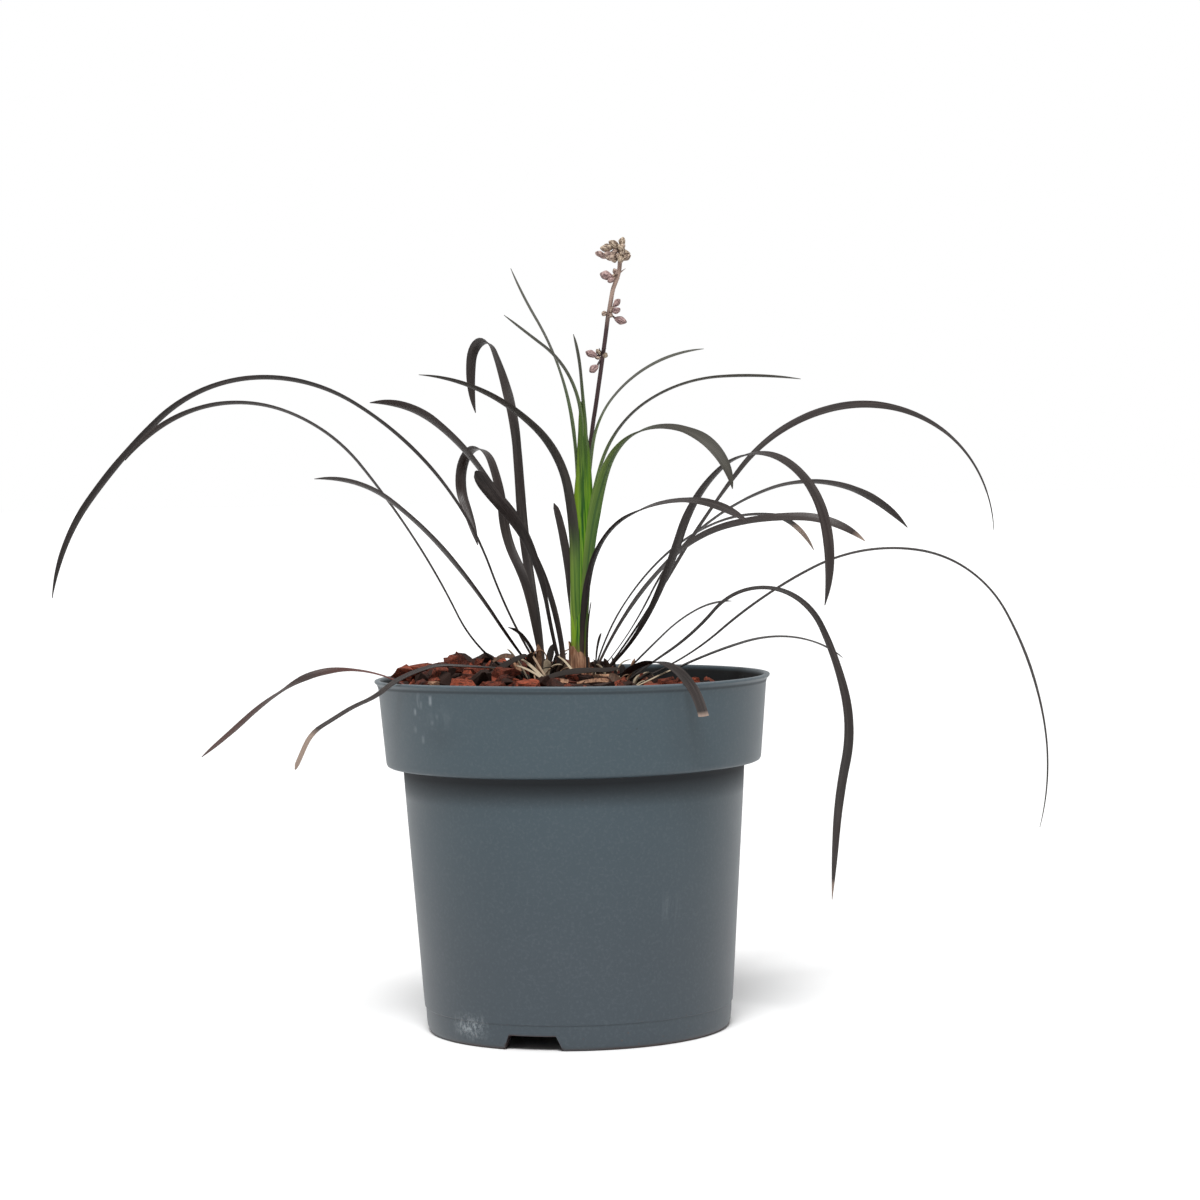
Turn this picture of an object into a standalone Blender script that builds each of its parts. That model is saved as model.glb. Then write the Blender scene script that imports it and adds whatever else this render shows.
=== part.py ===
"""Black mondo grass in its plastic nursery pot.

The pot's axis is Z, its foot stands on z = 0, and +X runs along the longest leaves.
Sizes are in millimetres here and become metres when a mesh is made.
"""

import math
import random

import bmesh
import bpy
from mathutils import Matrix, Vector

MM = 0.001
NAME = "black_mondo_grass"
GAP = 0.3                      # clearance between pieces that touch

# Pot
POT_SIDES = 48
RIM_RADIUS = 70.0
RIM_HEIGHT = 124.5
LIP_HEIGHT = 2.2
COLLAR_TOP_RADIUS = 68.7
COLLAR_BOTTOM_RADIUS = 66.3
COLLAR_BOTTOM = 94.2
BODY_TOP_RADIUS = 60.4
BODY_BOTTOM_RADIUS = 54.6
FOOT_RADIUS = 53.2
WALL = 1.3
EDGE_ROUND = 0.7               # small bevel on the rim's and the collar's edges
COLLAR_STEP = 1.2              # the underside of the collar slopes by this much
FOOT_FLARE = (4.0, 1.4, 0.6)   # the wall turns in at these heights, and by this much
STANDING_RING = (2.4, 3.0)     # its width at the ground, and under the floor
FLOOR_UNDERSIDE = 6.6
FLOOR_TOP = 8.0
PAD_RADIUS = 9.0
DRAIN_NOTCHES = 3
FIRST_NOTCH_ANGLE = -107.0
NOTCH_BOTTOM = 22.0
NOTCH_TOP = 17.0
NOTCH_HEIGHT = 5.2
NOTCH_REACH = 8.0              # how far the cutter reaches in and out
NOTCH_BELOW = 1.0
DRAIN_HOLES = 6
DRAIN_HOLE_RADIUS = 4.0
DRAIN_HOLE_CIRCLE = 34.0
DRAIN_HOLE_SIDES = 16
CUT_PAST = 2.5                 # how far a cutter runs past the floor

# Soil and bark
SOIL_GAP = 0.5                 # between the root ball and the pot's wall
FACET_ROOM = 0.4               # more of it where flat facets could meet the wall
SOIL_MIDDLE = 118.6
SOIL_DROP_RIGHT = 5.2          # the soil has sunk on the right
DROP_START = 5.0
DROP_END = 34.0
LEFT_HEAP = 2.4
HEAP_CENTRE = (-38.0, 4.0)
HEAP_SPREAD = 24.0
SOIL_RINGS = 7
MIDDLE_RING = 0.4              # radius that the rings close in on
SOIL_SIDES = 36
BARK_LAYER = 2.2
BARK_GAP = 0.5
CHIP_COUNT = 72
CHIP_REACH = 57.0              # no chip's middle lies further out
CHIP_LENGTH = (9.0, 18.0)
CHIP_WIDTH = (6.0, 11.0)
CHIP_HEIGHT = (5.0, 9.0)
CHIP_SINK = 1.2                # how deep a chip reaches into the crumb layer
CHIP_RISE = 0.3                # how far its middle stands above that layer, by its half height
CHIP_SEED = 11
CHIP_TILT = 28.0
CHIP_CORNERS = 12
CHIP_CORNER_REACH = (0.72, 1.12)
CHIPS_LEFT_OUT = 0.6           # share of them left out where the soil has sunk
CHIP_OFF_CROWN = 1.0           # clear of the shoots, and of the leaves
CHIP_OFF_LEAF = 1.8
LOW_LEAF = RIM_HEIGHT + 5.0    # leaves below this height keep chips away
SPOTS_ON_LEAF = 24
POCKET_SIDES = 20
POCKET_CLEARANCE = 0.45
POCKET_FLOOR = 110.0
POCKET_TOP = RIM_HEIGHT + 20.0
STEM_HOLE_SIDES = 10

# Shoots: centre x, y and half widths of each crown
CROWN_MIDDLE = 119.5
CROWN_HALF_HEIGHT = 8.5
LEFT_CROWN = (-12.0, -3.5, 8.0, 7.0)
RIGHT_CROWN = (15.2, 4.5, 6.6, 6.6)
CROWN_SIDES = 14
CROWN_BANDS = 7
SINK = 0.55                    # how far a leaf's root starts towards the crown's edge

# Green column of the middle shoot: height, centre x, half width across, half depth
COLUMN = (
    (112.0, 2.4, 2.6, 2.6),
    (121.0, 2.5, 3.3, 3.2),
    (134.0, 2.7, 3.2, 3.0),
    (150.0, 3.0, 3.6, 2.6),
    (168.0, 4.2, 4.2, 2.3),
    (186.0, 5.3, 4.2, 1.9),
    (201.0, 5.7, 3.4, 1.5),
    (211.0, 5.4, 1.2, 0.8),
)
COLUMN_SIDES = 12
COLUMN_POCKET = 4.9
ROOT_BELOW = 8.0               # a leaf's root starts this far below where it leaves the column
ROOT_OUTWARD = 0.35
SHEATH_BOTTOM = 119.0
SHEATH_TOP = 132.0
SHEATH_SLANT = 3.0             # how much higher its torn edge is on the left
SHEATH_TEAR = 0.7              # depth of the tears in it, and how many there are
SHEATH_TEARS = 7.0
SHEATH_RADIUS = 3.65
SHEATH_WALL = 0.6
SHEATH_TURN = 250.0
SHEATH_SIDES = 16

# Leaves
LEAF_THICKNESS = 0.7
LEAF_STEP = 9.0                # length between stations on a straight stretch
LEAF_TURN = 18.0               # degrees of bend that take one more station
ROOT_WIDTH = 0.55              # a leaf's width at its root, as a share of its widest
TIP_WIDTH = 0.16
WIDEN_BY = 0.35                # share of the length where it is at its widest
TAPER_FROM = 0.68
TAPER_POWER = 1.6
FEWEST_STEPS = 4

# Each leaf: foot (x, y, z), heading and how far it swings round on the way, length, width,
# then at even stations from foot to tip how steeply it climbs, and how far its face is
# rolled. Angles are in degrees.
LEFT_LEAVES = (
    ((-11.7, -3, 127.7), 178, -16, 273, 4.6, (59, 71, 51, 32, -3, -41, -51, -80), (-14, -16, -30)),
    ((-18.9, -5, 124.6), -179, 14, 189, 4.2, (29, 65, 58, 52, 22, -16, -52), (-4, -3, -16)),
    ((-11.7, -6, 124.3), -139, -22, 115, 4.4, (46, 53, 48, 37, -3), (-6, -20, -24)),
    ((-2.9, -5, 129.7), -172, 18, 124, 4.6, (85, 73, 59, 55, 37, -5), (-10, -25, -24)),
    ((-11.0, 0, 132.2), 107, 22, 155, 4.2, (77, 63, 72, 83, 82, 64, 55, -74, -123), (0, 0, 0)),
    ((-10.9, -3, 130.5), 140, -24, 131, 4.2, (78, 77, 54, 83, 59, -38, -127, -119), (0, 0, 0)),
    ((-5.1, -6, 132.3), -150, 20, 77, 5.2, (76, 79, 64, 41, 45), (-8, -30, -60)),
    ((-10.9, -6, 127.5), -148, -15, 20, 3.8, (60, 64, 50, 19), (-10, -20, -20)),
    ((-15.3, -7, 123.8), -141, -12, 106, 4.2, (30, 5, 5, -23, -25, -29, -72), (-8, -15, -15)),
)
RIGHT_LEAVES = (
    ((13.4, 2, 127.3), -28, -20, 170, 4.6, (41, 60, 68, 36, -26, -75, -108), (0, 0, 10)),
    ((13.0, 6, 126.9), 7, 14, 215, 4.6, (52, 58, 50, 10, -35, -88), (6, 4, 30, 16, 2)),
    ((11.6, 6, 127.6), 43, -18, 168, 4.4, (39, 55, 32, 16, -13, -46), (4, 6, 22, 28)),
    ((9.4, 4, 127.9), -23, 18, 121, 4.6, (63, 53, 42, 12, -2, -41), (14, 20, 35)),
    ((9.0, 8, 128.4), 56, -16, 147, 3.8, (58, 39, 27, 14, -4, -56), (5, 3, 14)),
    ((17.0, 1, 120.5), -35, 18, 191, 4.8, (32, 30, 45, -6, -64, -77, -103, -95, -93),
     (0, 25, 25)),
    ((18.7, 5, 120.8), 17, -14, 246, 4.4, (15, 38, 25, -10, -62, -80, -105), (0, 3, 10)),
    ((15.6, 8, 123.7), 73, -22, 100, 3.8, (3, 17, 21, 14, -2), (0, 0, 0)),
    ((22.0, 6, 120.3), 22, 16, 94, 3.6, (17, 19, 12, -9, -33), (0, 0, 0)),
    ((17.0, -1, 122.0), -72, 8, 80, 3.6, (31, 13, 10, -1, -13, -32, -64), (0, 0, 0)),
)
MIDDLE_LEAVES = (
    ((3.1, 1, 193.8), 148, 25, 80, 3.4, (90, 82, 71, 60, 69), (0, 0, 0)),
    ((5.0, 0, 193.8), -152, -25, 69, 3.4, (87, 93, 67, 38, 40), (0, 0, 0)),
    ((6.5, 0, 200.5), 190, 20, 45, 3.2, (91, 86, 86, 75), (0, 0, 0)),
    ((2.4, -2, 137.3), -162, 24, 132, 4.2, (86, 91, 80, 40, 20, 3), (-45, -35, 0)),
    ((1.1, -2, 144.4), -150, -20, 42, 3.6, (86, 84, 80, 73), (-30, -40, -40)),
    ((6.9, 1, 186.7), 39, -28, 78, 3.4, (85, 79, 47, 26, 5), (10, 12, 6)),
    ((6.0, 0, 172.5), -28, 20, 112, 3.8, (82, 70, 31, 2, -8), (12, 10, 6)),
    ((5.1, -2, 151.4), -53, 22, 118, 4.2, (82, 77, 63, 12, -25, -83), (45, 30, 0, -40)),
    ((3.8, -3, 136.9), -56, 26, 106, 4.2, (87, 66, 23, 0, -34), (20, 8, 24)),
)
LOOSE_LEAF = ((-57.9, -28, 124.2), -177, 14, 80, 3.8, (30, 3, -29, -41, -35), (0, 8, 20))
DEAD_LEAF = ((-8.0, -19.0, 0.0), 12, 29, 3.4)     # its height follows the bark
DEAD_LEAF_ARCH = 2.0
DEAD_LEAF_STEPS = 8
DEAD_LEAF_LIFT = 0.9           # of its middle, over the crumb layer

# Flower spike: x, y, z of the stem's points
STEM = (
    (3.6, 8.0, 112.0),
    (3.9, 7.8, 137.0),
    (5.6, 6.6, 190.0),
    (9.0, 6.2, 215.0),
    (11.6, 6.4, 232.0),
    (13.6, 6.8, 251.0),
    (14.6, 7.0, 262.0),
    (18.4, 7.6, 271.0),
    (18.8, 7.8, 280.0),
)
STEM_RADIUS = 0.8
STEM_TOP = 0.6                 # its thickness at the top, as a share of the foot's
STALK_RADIUS = 0.4
BUD_RADIUS = 1.5
BUD_LENGTH = 4.2
BUD_SEGMENTS = 6
BUD_RINGS = 4
# Bunches of buds: height on the stem, then each bud's direction, rise and reach
BUNCHES = (
    (236.5, ((185, 5, 5.4), (215, -50, 5.6))),
    (251.0, ((-20, 30, 4.0), (20, -5, 3.6), (-35, -55, 4.4), (150, 20, 3.2))),
    (263.0, ((200, 8, 4.2), (160, 55, 3.0), (250, -20, 3.2), (30, 10, 3.2))),
    (273.5, ((190, -10, 5.6), (170, 25, 5.4), (250, 0, 4.0), (340, -25, 3.4), (60, 10, 4.0))),
    (279.0, ((180, 5, 4.6), (200, 55, 3.6), (350, 15, 4.0), (20, 40, 3.4), (110, 30, 3.8),
             (280, 30, 3.6), (0, 85, 2.4))),
)

# Colours: red, green, blue, roughness
COLOURS = {
    "pot": (0.085, 0.112, 0.131, 0.42),
    "soil": (0.018, 0.012, 0.009, 0.95),
    "bark": (0.16, 0.045, 0.025, 0.85),
    "leaf": (0.022, 0.017, 0.018, 0.40),
    "green_leaf": (0.10, 0.20, 0.02, 0.38),
    "sheath": (0.30, 0.17, 0.10, 0.75),
    "spike": (0.16, 0.09, 0.10, 0.60),
    "dead_leaf": (0.07, 0.055, 0.045, 0.70),
}


def clear_scene():
    for item in list(bpy.data.objects):
        bpy.data.objects.remove(item, do_unlink=True)


def collection(name):
    group = bpy.data.collections.new(name)
    bpy.context.scene.collection.children.link(group)
    return group


def material(name):
    red, green, blue, roughness = COLOURS[name]
    made = bpy.data.materials.new(name)
    made.use_nodes = True
    shader = made.node_tree.nodes["Principled BSDF"]
    shader.inputs["Base Color"].default_value = (red, green, blue, 1.0)
    shader.inputs["Roughness"].default_value = roughness
    shader.inputs["Metallic"].default_value = 0.0
    made.diffuse_color = (red, green, blue, 1.0)
    return made


def add_object(name, mesh, group, colour=None):
    made = bpy.data.objects.new(name, mesh)
    group.objects.link(made)
    if colour is not None:
        mesh.materials.append(colour)
    return made


def mesh_from(name, form):
    """Turn a bmesh in millimetres into a mesh in metres."""
    bmesh.ops.scale(form, vec=(MM, MM, MM), verts=form.verts)
    bmesh.ops.recalc_face_normals(form, faces=form.faces)
    mesh = bpy.data.meshes.new(name)
    form.to_mesh(mesh)
    form.free()
    return mesh


def shade(thing, angle=40.0):
    thing.data.shade_smooth()
    thing.data.set_sharp_from_angle(angle=math.radians(angle))


def apply_modifiers(thing):
    depsgraph = bpy.context.evaluated_depsgraph_get()
    finished = bpy.data.meshes.new_from_object(thing.evaluated_get(depsgraph))
    thing.modifiers.clear()
    thing.data = finished


def hide_as_cutter(thing):
    thing.hide_render = True
    thing.display_type = "WIRE"


def smooth_step(low, high, value):
    share = min(max((value - low) / (high - low), 0.0), 1.0)
    return share * share * (3.0 - 2.0 * share)


def along(values, share):
    """Read evenly spaced values at a share of the way from the first to the last."""
    place = share * (len(values) - 1)
    first = min(int(place), len(values) - 2)
    return values[first] + (values[first + 1] - values[first]) * (place - first)


def loft(form, rings):
    """Join rings of points, each with as many points, into one closed body."""
    rows = [[form.verts.new(point) for point in ring] for ring in rings]
    sides = len(rows[0])
    for lower, upper in zip(rows, rows[1:]):
        for side in range(sides):
            after = (side + 1) % sides
            form.faces.new((lower[side], lower[after], upper[after]))
            form.faces.new((lower[side], upper[after], upper[side]))
    form.faces.new(tuple(reversed(rows[0])))
    form.faces.new(tuple(rows[-1]))


def join_all(target, pieces, solver="EXACT"):
    """Fuse pieces into the target with one Boolean union on a collection."""
    group = bpy.data.collections.new(target.name + "_pieces")
    bpy.context.scene.collection.children.link(group)
    for piece in pieces:
        for owner in list(piece.users_collection):
            owner.objects.unlink(piece)
        group.objects.link(piece)
    union = target.modifiers.new("Join", "BOOLEAN")
    union.operation = "UNION"
    union.operand_type = "COLLECTION"
    union.collection = group
    union.solver = solver
    apply_modifiers(target)
    for piece in pieces:
        bpy.data.objects.remove(piece, do_unlink=True)
    bpy.data.collections.remove(group)


def cut(target, cutter):
    difference = target.modifiers.new("Cut " + cutter.name, "BOOLEAN")
    difference.operation = "DIFFERENCE"
    difference.solver = "EXACT"
    difference.object = cutter


# Pot

def pot_profile():
    """The wall's outline from the rim down its outer side, then back up the inner side."""
    lip_bottom = RIM_HEIGHT - LIP_HEIGHT
    collar_inner_ledge = COLLAR_BOTTOM + WALL
    body_inner_top = BODY_TOP_RADIUS - WALL
    return (
        (RIM_RADIUS - EDGE_ROUND, RIM_HEIGHT),
        (RIM_RADIUS, RIM_HEIGHT - EDGE_ROUND),
        (RIM_RADIUS, lip_bottom + EDGE_ROUND),
        (COLLAR_TOP_RADIUS, lip_bottom),
        (COLLAR_BOTTOM_RADIUS, COLLAR_BOTTOM),
        (COLLAR_BOTTOM_RADIUS - EDGE_ROUND, COLLAR_BOTTOM - EDGE_ROUND),
        (BODY_TOP_RADIUS, COLLAR_BOTTOM - COLLAR_STEP),
        (BODY_BOTTOM_RADIUS, FOOT_FLARE[0]),
        (FOOT_RADIUS + FOOT_FLARE[2], FOOT_FLARE[1]),
        (FOOT_RADIUS - FOOT_FLARE[2], 0.0),
        (FOOT_RADIUS - STANDING_RING[0], 0.0),
        (FOOT_RADIUS - STANDING_RING[1], FLOOR_UNDERSIDE),
        (PAD_RADIUS + 1.0, FLOOR_UNDERSIDE),
        (PAD_RADIUS, 0.0),
        (0.0, 0.0),
        (0.0, FLOOR_TOP),
        (BODY_BOTTOM_RADIUS - WALL, FLOOR_TOP),
        (body_inner_top, COLLAR_BOTTOM - COLLAR_STEP + WALL),
        (COLLAR_BOTTOM_RADIUS - WALL, collar_inner_ledge),
        (COLLAR_TOP_RADIUS - WALL, lip_bottom),
        (COLLAR_TOP_RADIUS - WALL, RIM_HEIGHT),
    )


def turned(name, profile, group, colour, sides=POT_SIDES):
    """Turn an outline round the Z axis."""
    form = bmesh.new()
    points = [form.verts.new((radius, 0.0, height)) for radius, height in profile]
    for first, second in zip(points, points[1:]):
        form.edges.new((first, second))
    if profile[0][0] > 0.0 and profile[-1][0] > 0.0:
        form.edges.new((points[-1], points[0]))
    bmesh.ops.scale(form, vec=(MM, MM, MM), verts=form.verts)
    mesh = bpy.data.meshes.new(name)
    form.to_mesh(mesh)
    form.free()
    made = add_object(name, mesh, group, colour)
    screw = made.modifiers.new("Turn", "SCREW")
    screw.steps = sides
    screw.render_steps = sides
    screw.use_merge_vertices = True
    screw.merge_threshold = 0.00001
    screw.use_normal_calculate = True
    return made


def notch_cutter(index, cutters):
    """A drain notch, wider at the foot, that opens outwards through the standing ring."""
    angle = math.radians(FIRST_NOTCH_ANGLE + 360.0 / DRAIN_NOTCHES * index)
    section = (
        (-NOTCH_BOTTOM / 2.0, -NOTCH_BELOW),
        (NOTCH_BOTTOM / 2.0, -NOTCH_BELOW),
        (NOTCH_TOP / 2.0, NOTCH_HEIGHT),
        (-NOTCH_TOP / 2.0, NOTCH_HEIGHT),
    )
    form = bmesh.new()
    near = [(FOOT_RADIUS - NOTCH_REACH, across, height) for across, height in section]
    far = [(FOOT_RADIUS + NOTCH_REACH, across, height) for across, height in section]
    loft(form, (near, far))
    bmesh.ops.rotate(form, matrix=Matrix.Rotation(angle, 3, "Z"), verts=form.verts)
    cutter = add_object("notch_cutter_%d" % (index + 1), mesh_from("notch", form), cutters)
    hide_as_cutter(cutter)
    return cutter


def round_cutter(name, x, y, half_x, half_y, bottom, top, cutters, sides=POCKET_SIDES):
    form = bmesh.new()
    bmesh.ops.create_cone(form, cap_ends=True, segments=sides, radius1=1.0, radius2=1.0,
                          depth=top - bottom)
    bmesh.ops.scale(form, vec=(half_x, half_y, 1.0), verts=form.verts)
    bmesh.ops.translate(form, vec=(x, y, (top + bottom) / 2.0), verts=form.verts)
    cutter = add_object(name, mesh_from(name, form), cutters)
    hide_as_cutter(cutter)
    return cutter


def make_pot(group, cutters):
    pot = turned("pot", pot_profile(), group, material("pot"))
    for index in range(DRAIN_NOTCHES):
        cut(pot, notch_cutter(index, cutters))
    for index in range(DRAIN_HOLES):
        angle = math.tau * (index + 0.5) / DRAIN_HOLES
        x = DRAIN_HOLE_CIRCLE * math.cos(angle)
        y = DRAIN_HOLE_CIRCLE * math.sin(angle)
        name = "drain_cutter_%d" % (index + 1)
        radius = DRAIN_HOLE_RADIUS
        cut(pot, round_cutter(name, x, y, radius, radius, FLOOR_UNDERSIDE - CUT_PAST,
                              FLOOR_TOP + CUT_PAST, cutters, DRAIN_HOLE_SIDES))
    shade(pot, 30.0)
    return pot


# Soil and bark

def soil_height(x, y):
    """Height of the soil: a heap on the left, sunk on the right, softly uneven."""
    drop = SOIL_DROP_RIGHT * smooth_step(DROP_START, DROP_END, x)
    far = ((x - HEAP_CENTRE[0]) ** 2 + (y - HEAP_CENTRE[1]) ** 2) / HEAP_SPREAD ** 2
    heap = LEFT_HEAP * math.exp(-far)
    uneven = 0.35 * math.sin(x / 7.0 + 1.0) * math.cos(y / 8.0)
    return SOIL_MIDDLE - drop + heap + uneven


def bark_height(x, y):
    return soil_height(x, y) + BARK_GAP + BARK_LAYER


def soil_edge():
    """The soil's radius, clear of the collar's wall where the soil is lowest."""
    lowest = SOIL_MIDDLE - SOIL_DROP_RIGHT - COLLAR_BOTTOM
    share = lowest / (RIM_HEIGHT - LIP_HEIGHT - COLLAR_BOTTOM)
    wall = COLLAR_BOTTOM_RADIUS + share * (COLLAR_TOP_RADIUS - COLLAR_BOTTOM_RADIUS) - WALL
    return wall - SOIL_GAP - FACET_ROOM


def disc_rings(radius, height):
    """Rings of points from the edge of a disc to near its middle, on a height formula."""
    rings = []
    for step in range(SOIL_RINGS):
        reach = radius + (MIDDLE_RING - radius) * step / SOIL_RINGS
        ring = []
        for side in range(SOIL_SIDES):
            angle = math.tau * side / SOIL_SIDES
            x = reach * math.cos(angle)
            y = reach * math.sin(angle)
            ring.append((x, y, height(x, y)))
        rings.append(ring)
    return rings


def flat_ring(radius, height):
    angles = [math.tau * side / SOIL_SIDES for side in range(SOIL_SIDES)]
    return [(radius * math.cos(angle), radius * math.sin(angle), height) for angle in angles]


def pocket_cutters(cutters, label):
    """Plain holes where the shoots and the flower stem stand."""
    bottom = POCKET_FLOOR
    made = []
    for name, crown in (("left", LEFT_CROWN), ("right", RIGHT_CROWN)):
        x, y, half_x, half_y = crown
        half_x += POCKET_CLEARANCE
        half_y += POCKET_CLEARANCE
        made.append(round_cutter("%s_%s_pocket" % (label, name), x, y, half_x, half_y,
                                 bottom, POCKET_TOP, cutters))
    made.append(round_cutter(label + "_middle_pocket", COLUMN[0][1], 0.0, COLUMN_POCKET,
                             COLUMN_POCKET, bottom, POCKET_TOP, cutters))
    stem_hole = STEM_RADIUS + POCKET_CLEARANCE
    made.append(round_cutter(label + "_stem_hole", STEM[0][0], STEM[0][1], stem_hole,
                             stem_hole, bottom, POCKET_TOP, cutters, STEM_HOLE_SIDES))
    return made


def make_soil(group, cutters):
    body_inner_top = BODY_TOP_RADIUS - WALL
    shelf = COLLAR_BOTTOM + WALL + SOIL_GAP
    sides = [
        flat_ring(BODY_BOTTOM_RADIUS - WALL - SOIL_GAP - FACET_ROOM, FLOOR_TOP + GAP),
        flat_ring(body_inner_top - SOIL_GAP, shelf - FACET_ROOM),
        flat_ring(COLLAR_BOTTOM_RADIUS - WALL - SOIL_GAP, shelf + FACET_ROOM),
    ]
    form = bmesh.new()
    loft(form, sides + disc_rings(soil_edge(), soil_height))
    soil = add_object("root_ball", mesh_from("root_ball", form), group, material("soil"))
    for cutter in pocket_cutters(cutters, "soil"):
        cut(soil, cutter)
    apply_modifiers(soil)
    shade(soil)
    return soil


def dead_leaf_spot(share):
    """Where the dead leaf's middle is, x and y, at a share of its length."""
    foot, heading, length = DEAD_LEAF[:3]
    reach = length * share
    turn = math.radians(heading)
    return foot[0] + reach * math.cos(turn), foot[1] + reach * math.sin(turn)


def near_leaf(x, y, clearance):
    """Whether a leaf runs low over the bark at this spot."""
    spots = []
    for leaf in LEFT_LEAVES + RIGHT_LEAVES + (LOOSE_LEAF,):
        line = [point for point, share in centreline(leaf, SPOTS_ON_LEAF)]
        spots += [(point.x, point.y) for point in line if point.z < LOW_LEAF]
    spots += [dead_leaf_spot(step / DEAD_LEAF_STEPS) for step in range(DEAD_LEAF_STEPS + 1)]
    return any(math.hypot(spot[0] - x, spot[1] - y) < clearance for spot in spots)


def near_crown(x, y, clearance):
    for crown in (LEFT_CROWN, RIGHT_CROWN, (COLUMN[0][1], 0.0, COLUMN_POCKET, COLUMN_POCKET),
                  (STEM[0][0], STEM[0][1], STEM_RADIUS, STEM_RADIUS)):
        away = math.hypot((x - crown[0]) / (crown[2] + clearance),
                          (y - crown[1]) / (crown[3] + clearance))
        if away < 1.0:
            return True
    return False


def make_chip(index, dice, group):
    """One angular bark chip, or nothing where a leaf or a shoot is in the way."""
    angle = dice.uniform(0.0, math.tau)
    reach = CHIP_REACH * math.sqrt(dice.uniform(0.02, 1.0))
    x = reach * math.cos(angle)
    y = reach * math.sin(angle)
    size = Vector((dice.uniform(*CHIP_LENGTH), dice.uniform(*CHIP_WIDTH),
                   dice.uniform(*CHIP_HEIGHT))) / 2.0
    turn = Matrix.Rotation(dice.uniform(0.0, math.tau), 3, "Z")
    tilt = Matrix.Rotation(math.radians(dice.uniform(-CHIP_TILT, CHIP_TILT)), 3, "X")
    shape = [dice.uniform(*CHIP_CORNER_REACH) for corner in range(CHIP_CORNERS)]
    right_side = smooth_step(DROP_START, DROP_END, x)
    if dice.random() < CHIPS_LEFT_OUT * right_side:
        return None
    if near_crown(x, y, size.x + CHIP_OFF_CROWN) or near_leaf(x, y, size.x + CHIP_OFF_LEAF):
        return None
    form = bmesh.new()
    bmesh.ops.create_icosphere(form, subdivisions=1, radius=1.0)
    for corner, stretch in zip(form.verts, shape):
        corner.co = corner.co * stretch
    bmesh.ops.scale(form, vec=size, verts=form.verts)
    bmesh.ops.rotate(form, matrix=turn @ tilt, verts=form.verts)
    height = bark_height(x, y) + CHIP_RISE * size.z
    bmesh.ops.translate(form, vec=(x, y, height), verts=form.verts)
    for corner in form.verts:
        lowest = bark_height(corner.co.x, corner.co.y) - CHIP_SINK
        corner.co.z = max(corner.co.z, lowest)
    return add_object("chip_%d" % index, mesh_from("chip", form), group)


def make_bark(group, cutters):
    """A thin crumb layer over the soil, with bark chips standing out of it."""
    upper = disc_rings(soil_edge(), bark_height)
    lower = disc_rings(soil_edge(), lambda x, y: soil_height(x, y) + BARK_GAP)
    form = bmesh.new()
    loft(form, list(reversed(upper)) + lower)
    bark = add_object("bark_mulch", mesh_from("bark_mulch", form), group, material("bark"))
    for cutter in pocket_cutters(cutters, "bark"):
        cut(bark, cutter)
    apply_modifiers(bark)
    dice = random.Random(CHIP_SEED)
    chips = [make_chip(index, dice, group) for index in range(CHIP_COUNT)]
    join_all(bark, [chip for chip in chips if chip is not None])
    shade(bark, 25.0)
    return bark


# Leaves and shoots

def forward(turn, climb):
    """The direction at a heading and a climb, both in radians."""
    return Vector((math.cos(turn) * math.cos(climb), math.sin(turn) * math.cos(climb),
                   math.sin(climb)))


def centreline(leaf, steps):
    """Points along a leaf's middle with their share of its length."""
    heading, swing, length = leaf[1:4]
    climbs = leaf[5]
    point = Vector(leaf[0])
    line = [(point.copy(), 0.0)]
    for step in range(steps):
        share = (step + 0.5) / steps
        turn = math.radians(heading + swing * share)
        climb = math.radians(along(climbs, share))
        point = point + forward(turn, climb) * length / steps
        line.append((point.copy(), (step + 1) / steps))
    return line


def leaf_width(share, width):
    widening = ROOT_WIDTH + (1.0 - ROOT_WIDTH) * smooth_step(0.0, WIDEN_BY, share)
    narrowing = max(0.0, (share - TAPER_FROM) / (1.0 - TAPER_FROM)) ** TAPER_POWER
    taper = 1.0 - (1.0 - TIP_WIDTH) * narrowing
    return width * min(widening, taper)


def leaf_section(point, heading, climb, roll, width, thickness):
    """Four corners of a strap leaf's cross-section."""
    side = Vector((-math.sin(heading), math.cos(heading), 0.0))
    upward = forward(heading, climb).cross(side)
    across = side * math.cos(roll) + upward * math.sin(roll)
    face = upward * math.cos(roll) - side * math.sin(roll)
    across *= width / 2.0
    face *= thickness / 2.0
    return (point - across - face, point + across - face, point + across + face,
            point - across + face)


def make_leaf(name, leaf, group, root=None):
    """A strap leaf lofted along its line, with its root sunk to the point given."""
    foot, heading, swing, length, width, climbs, rolls = leaf
    bends = sum(abs(second - first) for first, second in zip(climbs, climbs[1:]))
    steps = max(FEWEST_STEPS, math.ceil(length / LEAF_STEP + bends / LEAF_TURN))
    turn = math.radians(heading)
    rings = []
    if root is not None:
        rise = Vector(foot) - root
        climb = math.atan2(rise.z, Vector((rise.x, rise.y)).dot((math.cos(turn), math.sin(turn))))
        rings.append(leaf_section(root, turn, climb, math.radians(rolls[0]),
                                  leaf_width(0.0, width), LEAF_THICKNESS))
    for point, share in centreline(leaf, steps):
        turn = math.radians(heading + swing * share)
        climb = math.radians(along(climbs, share))
        roll = math.radians(along(rolls, share))
        rings.append(leaf_section(point, turn, climb, roll, leaf_width(share, width),
                                  LEAF_THICKNESS))
    form = bmesh.new()
    loft(form, rings)
    return add_object(name, mesh_from(name, form), group)


def crown_root(leaf, crown):
    """Where a leaf starts inside its crown."""
    x, y = leaf[0][0], leaf[0][1]
    return Vector((crown[0] + SINK * (x - crown[0]), crown[1] + SINK * (y - crown[1]),
                   CROWN_MIDDLE))


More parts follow.
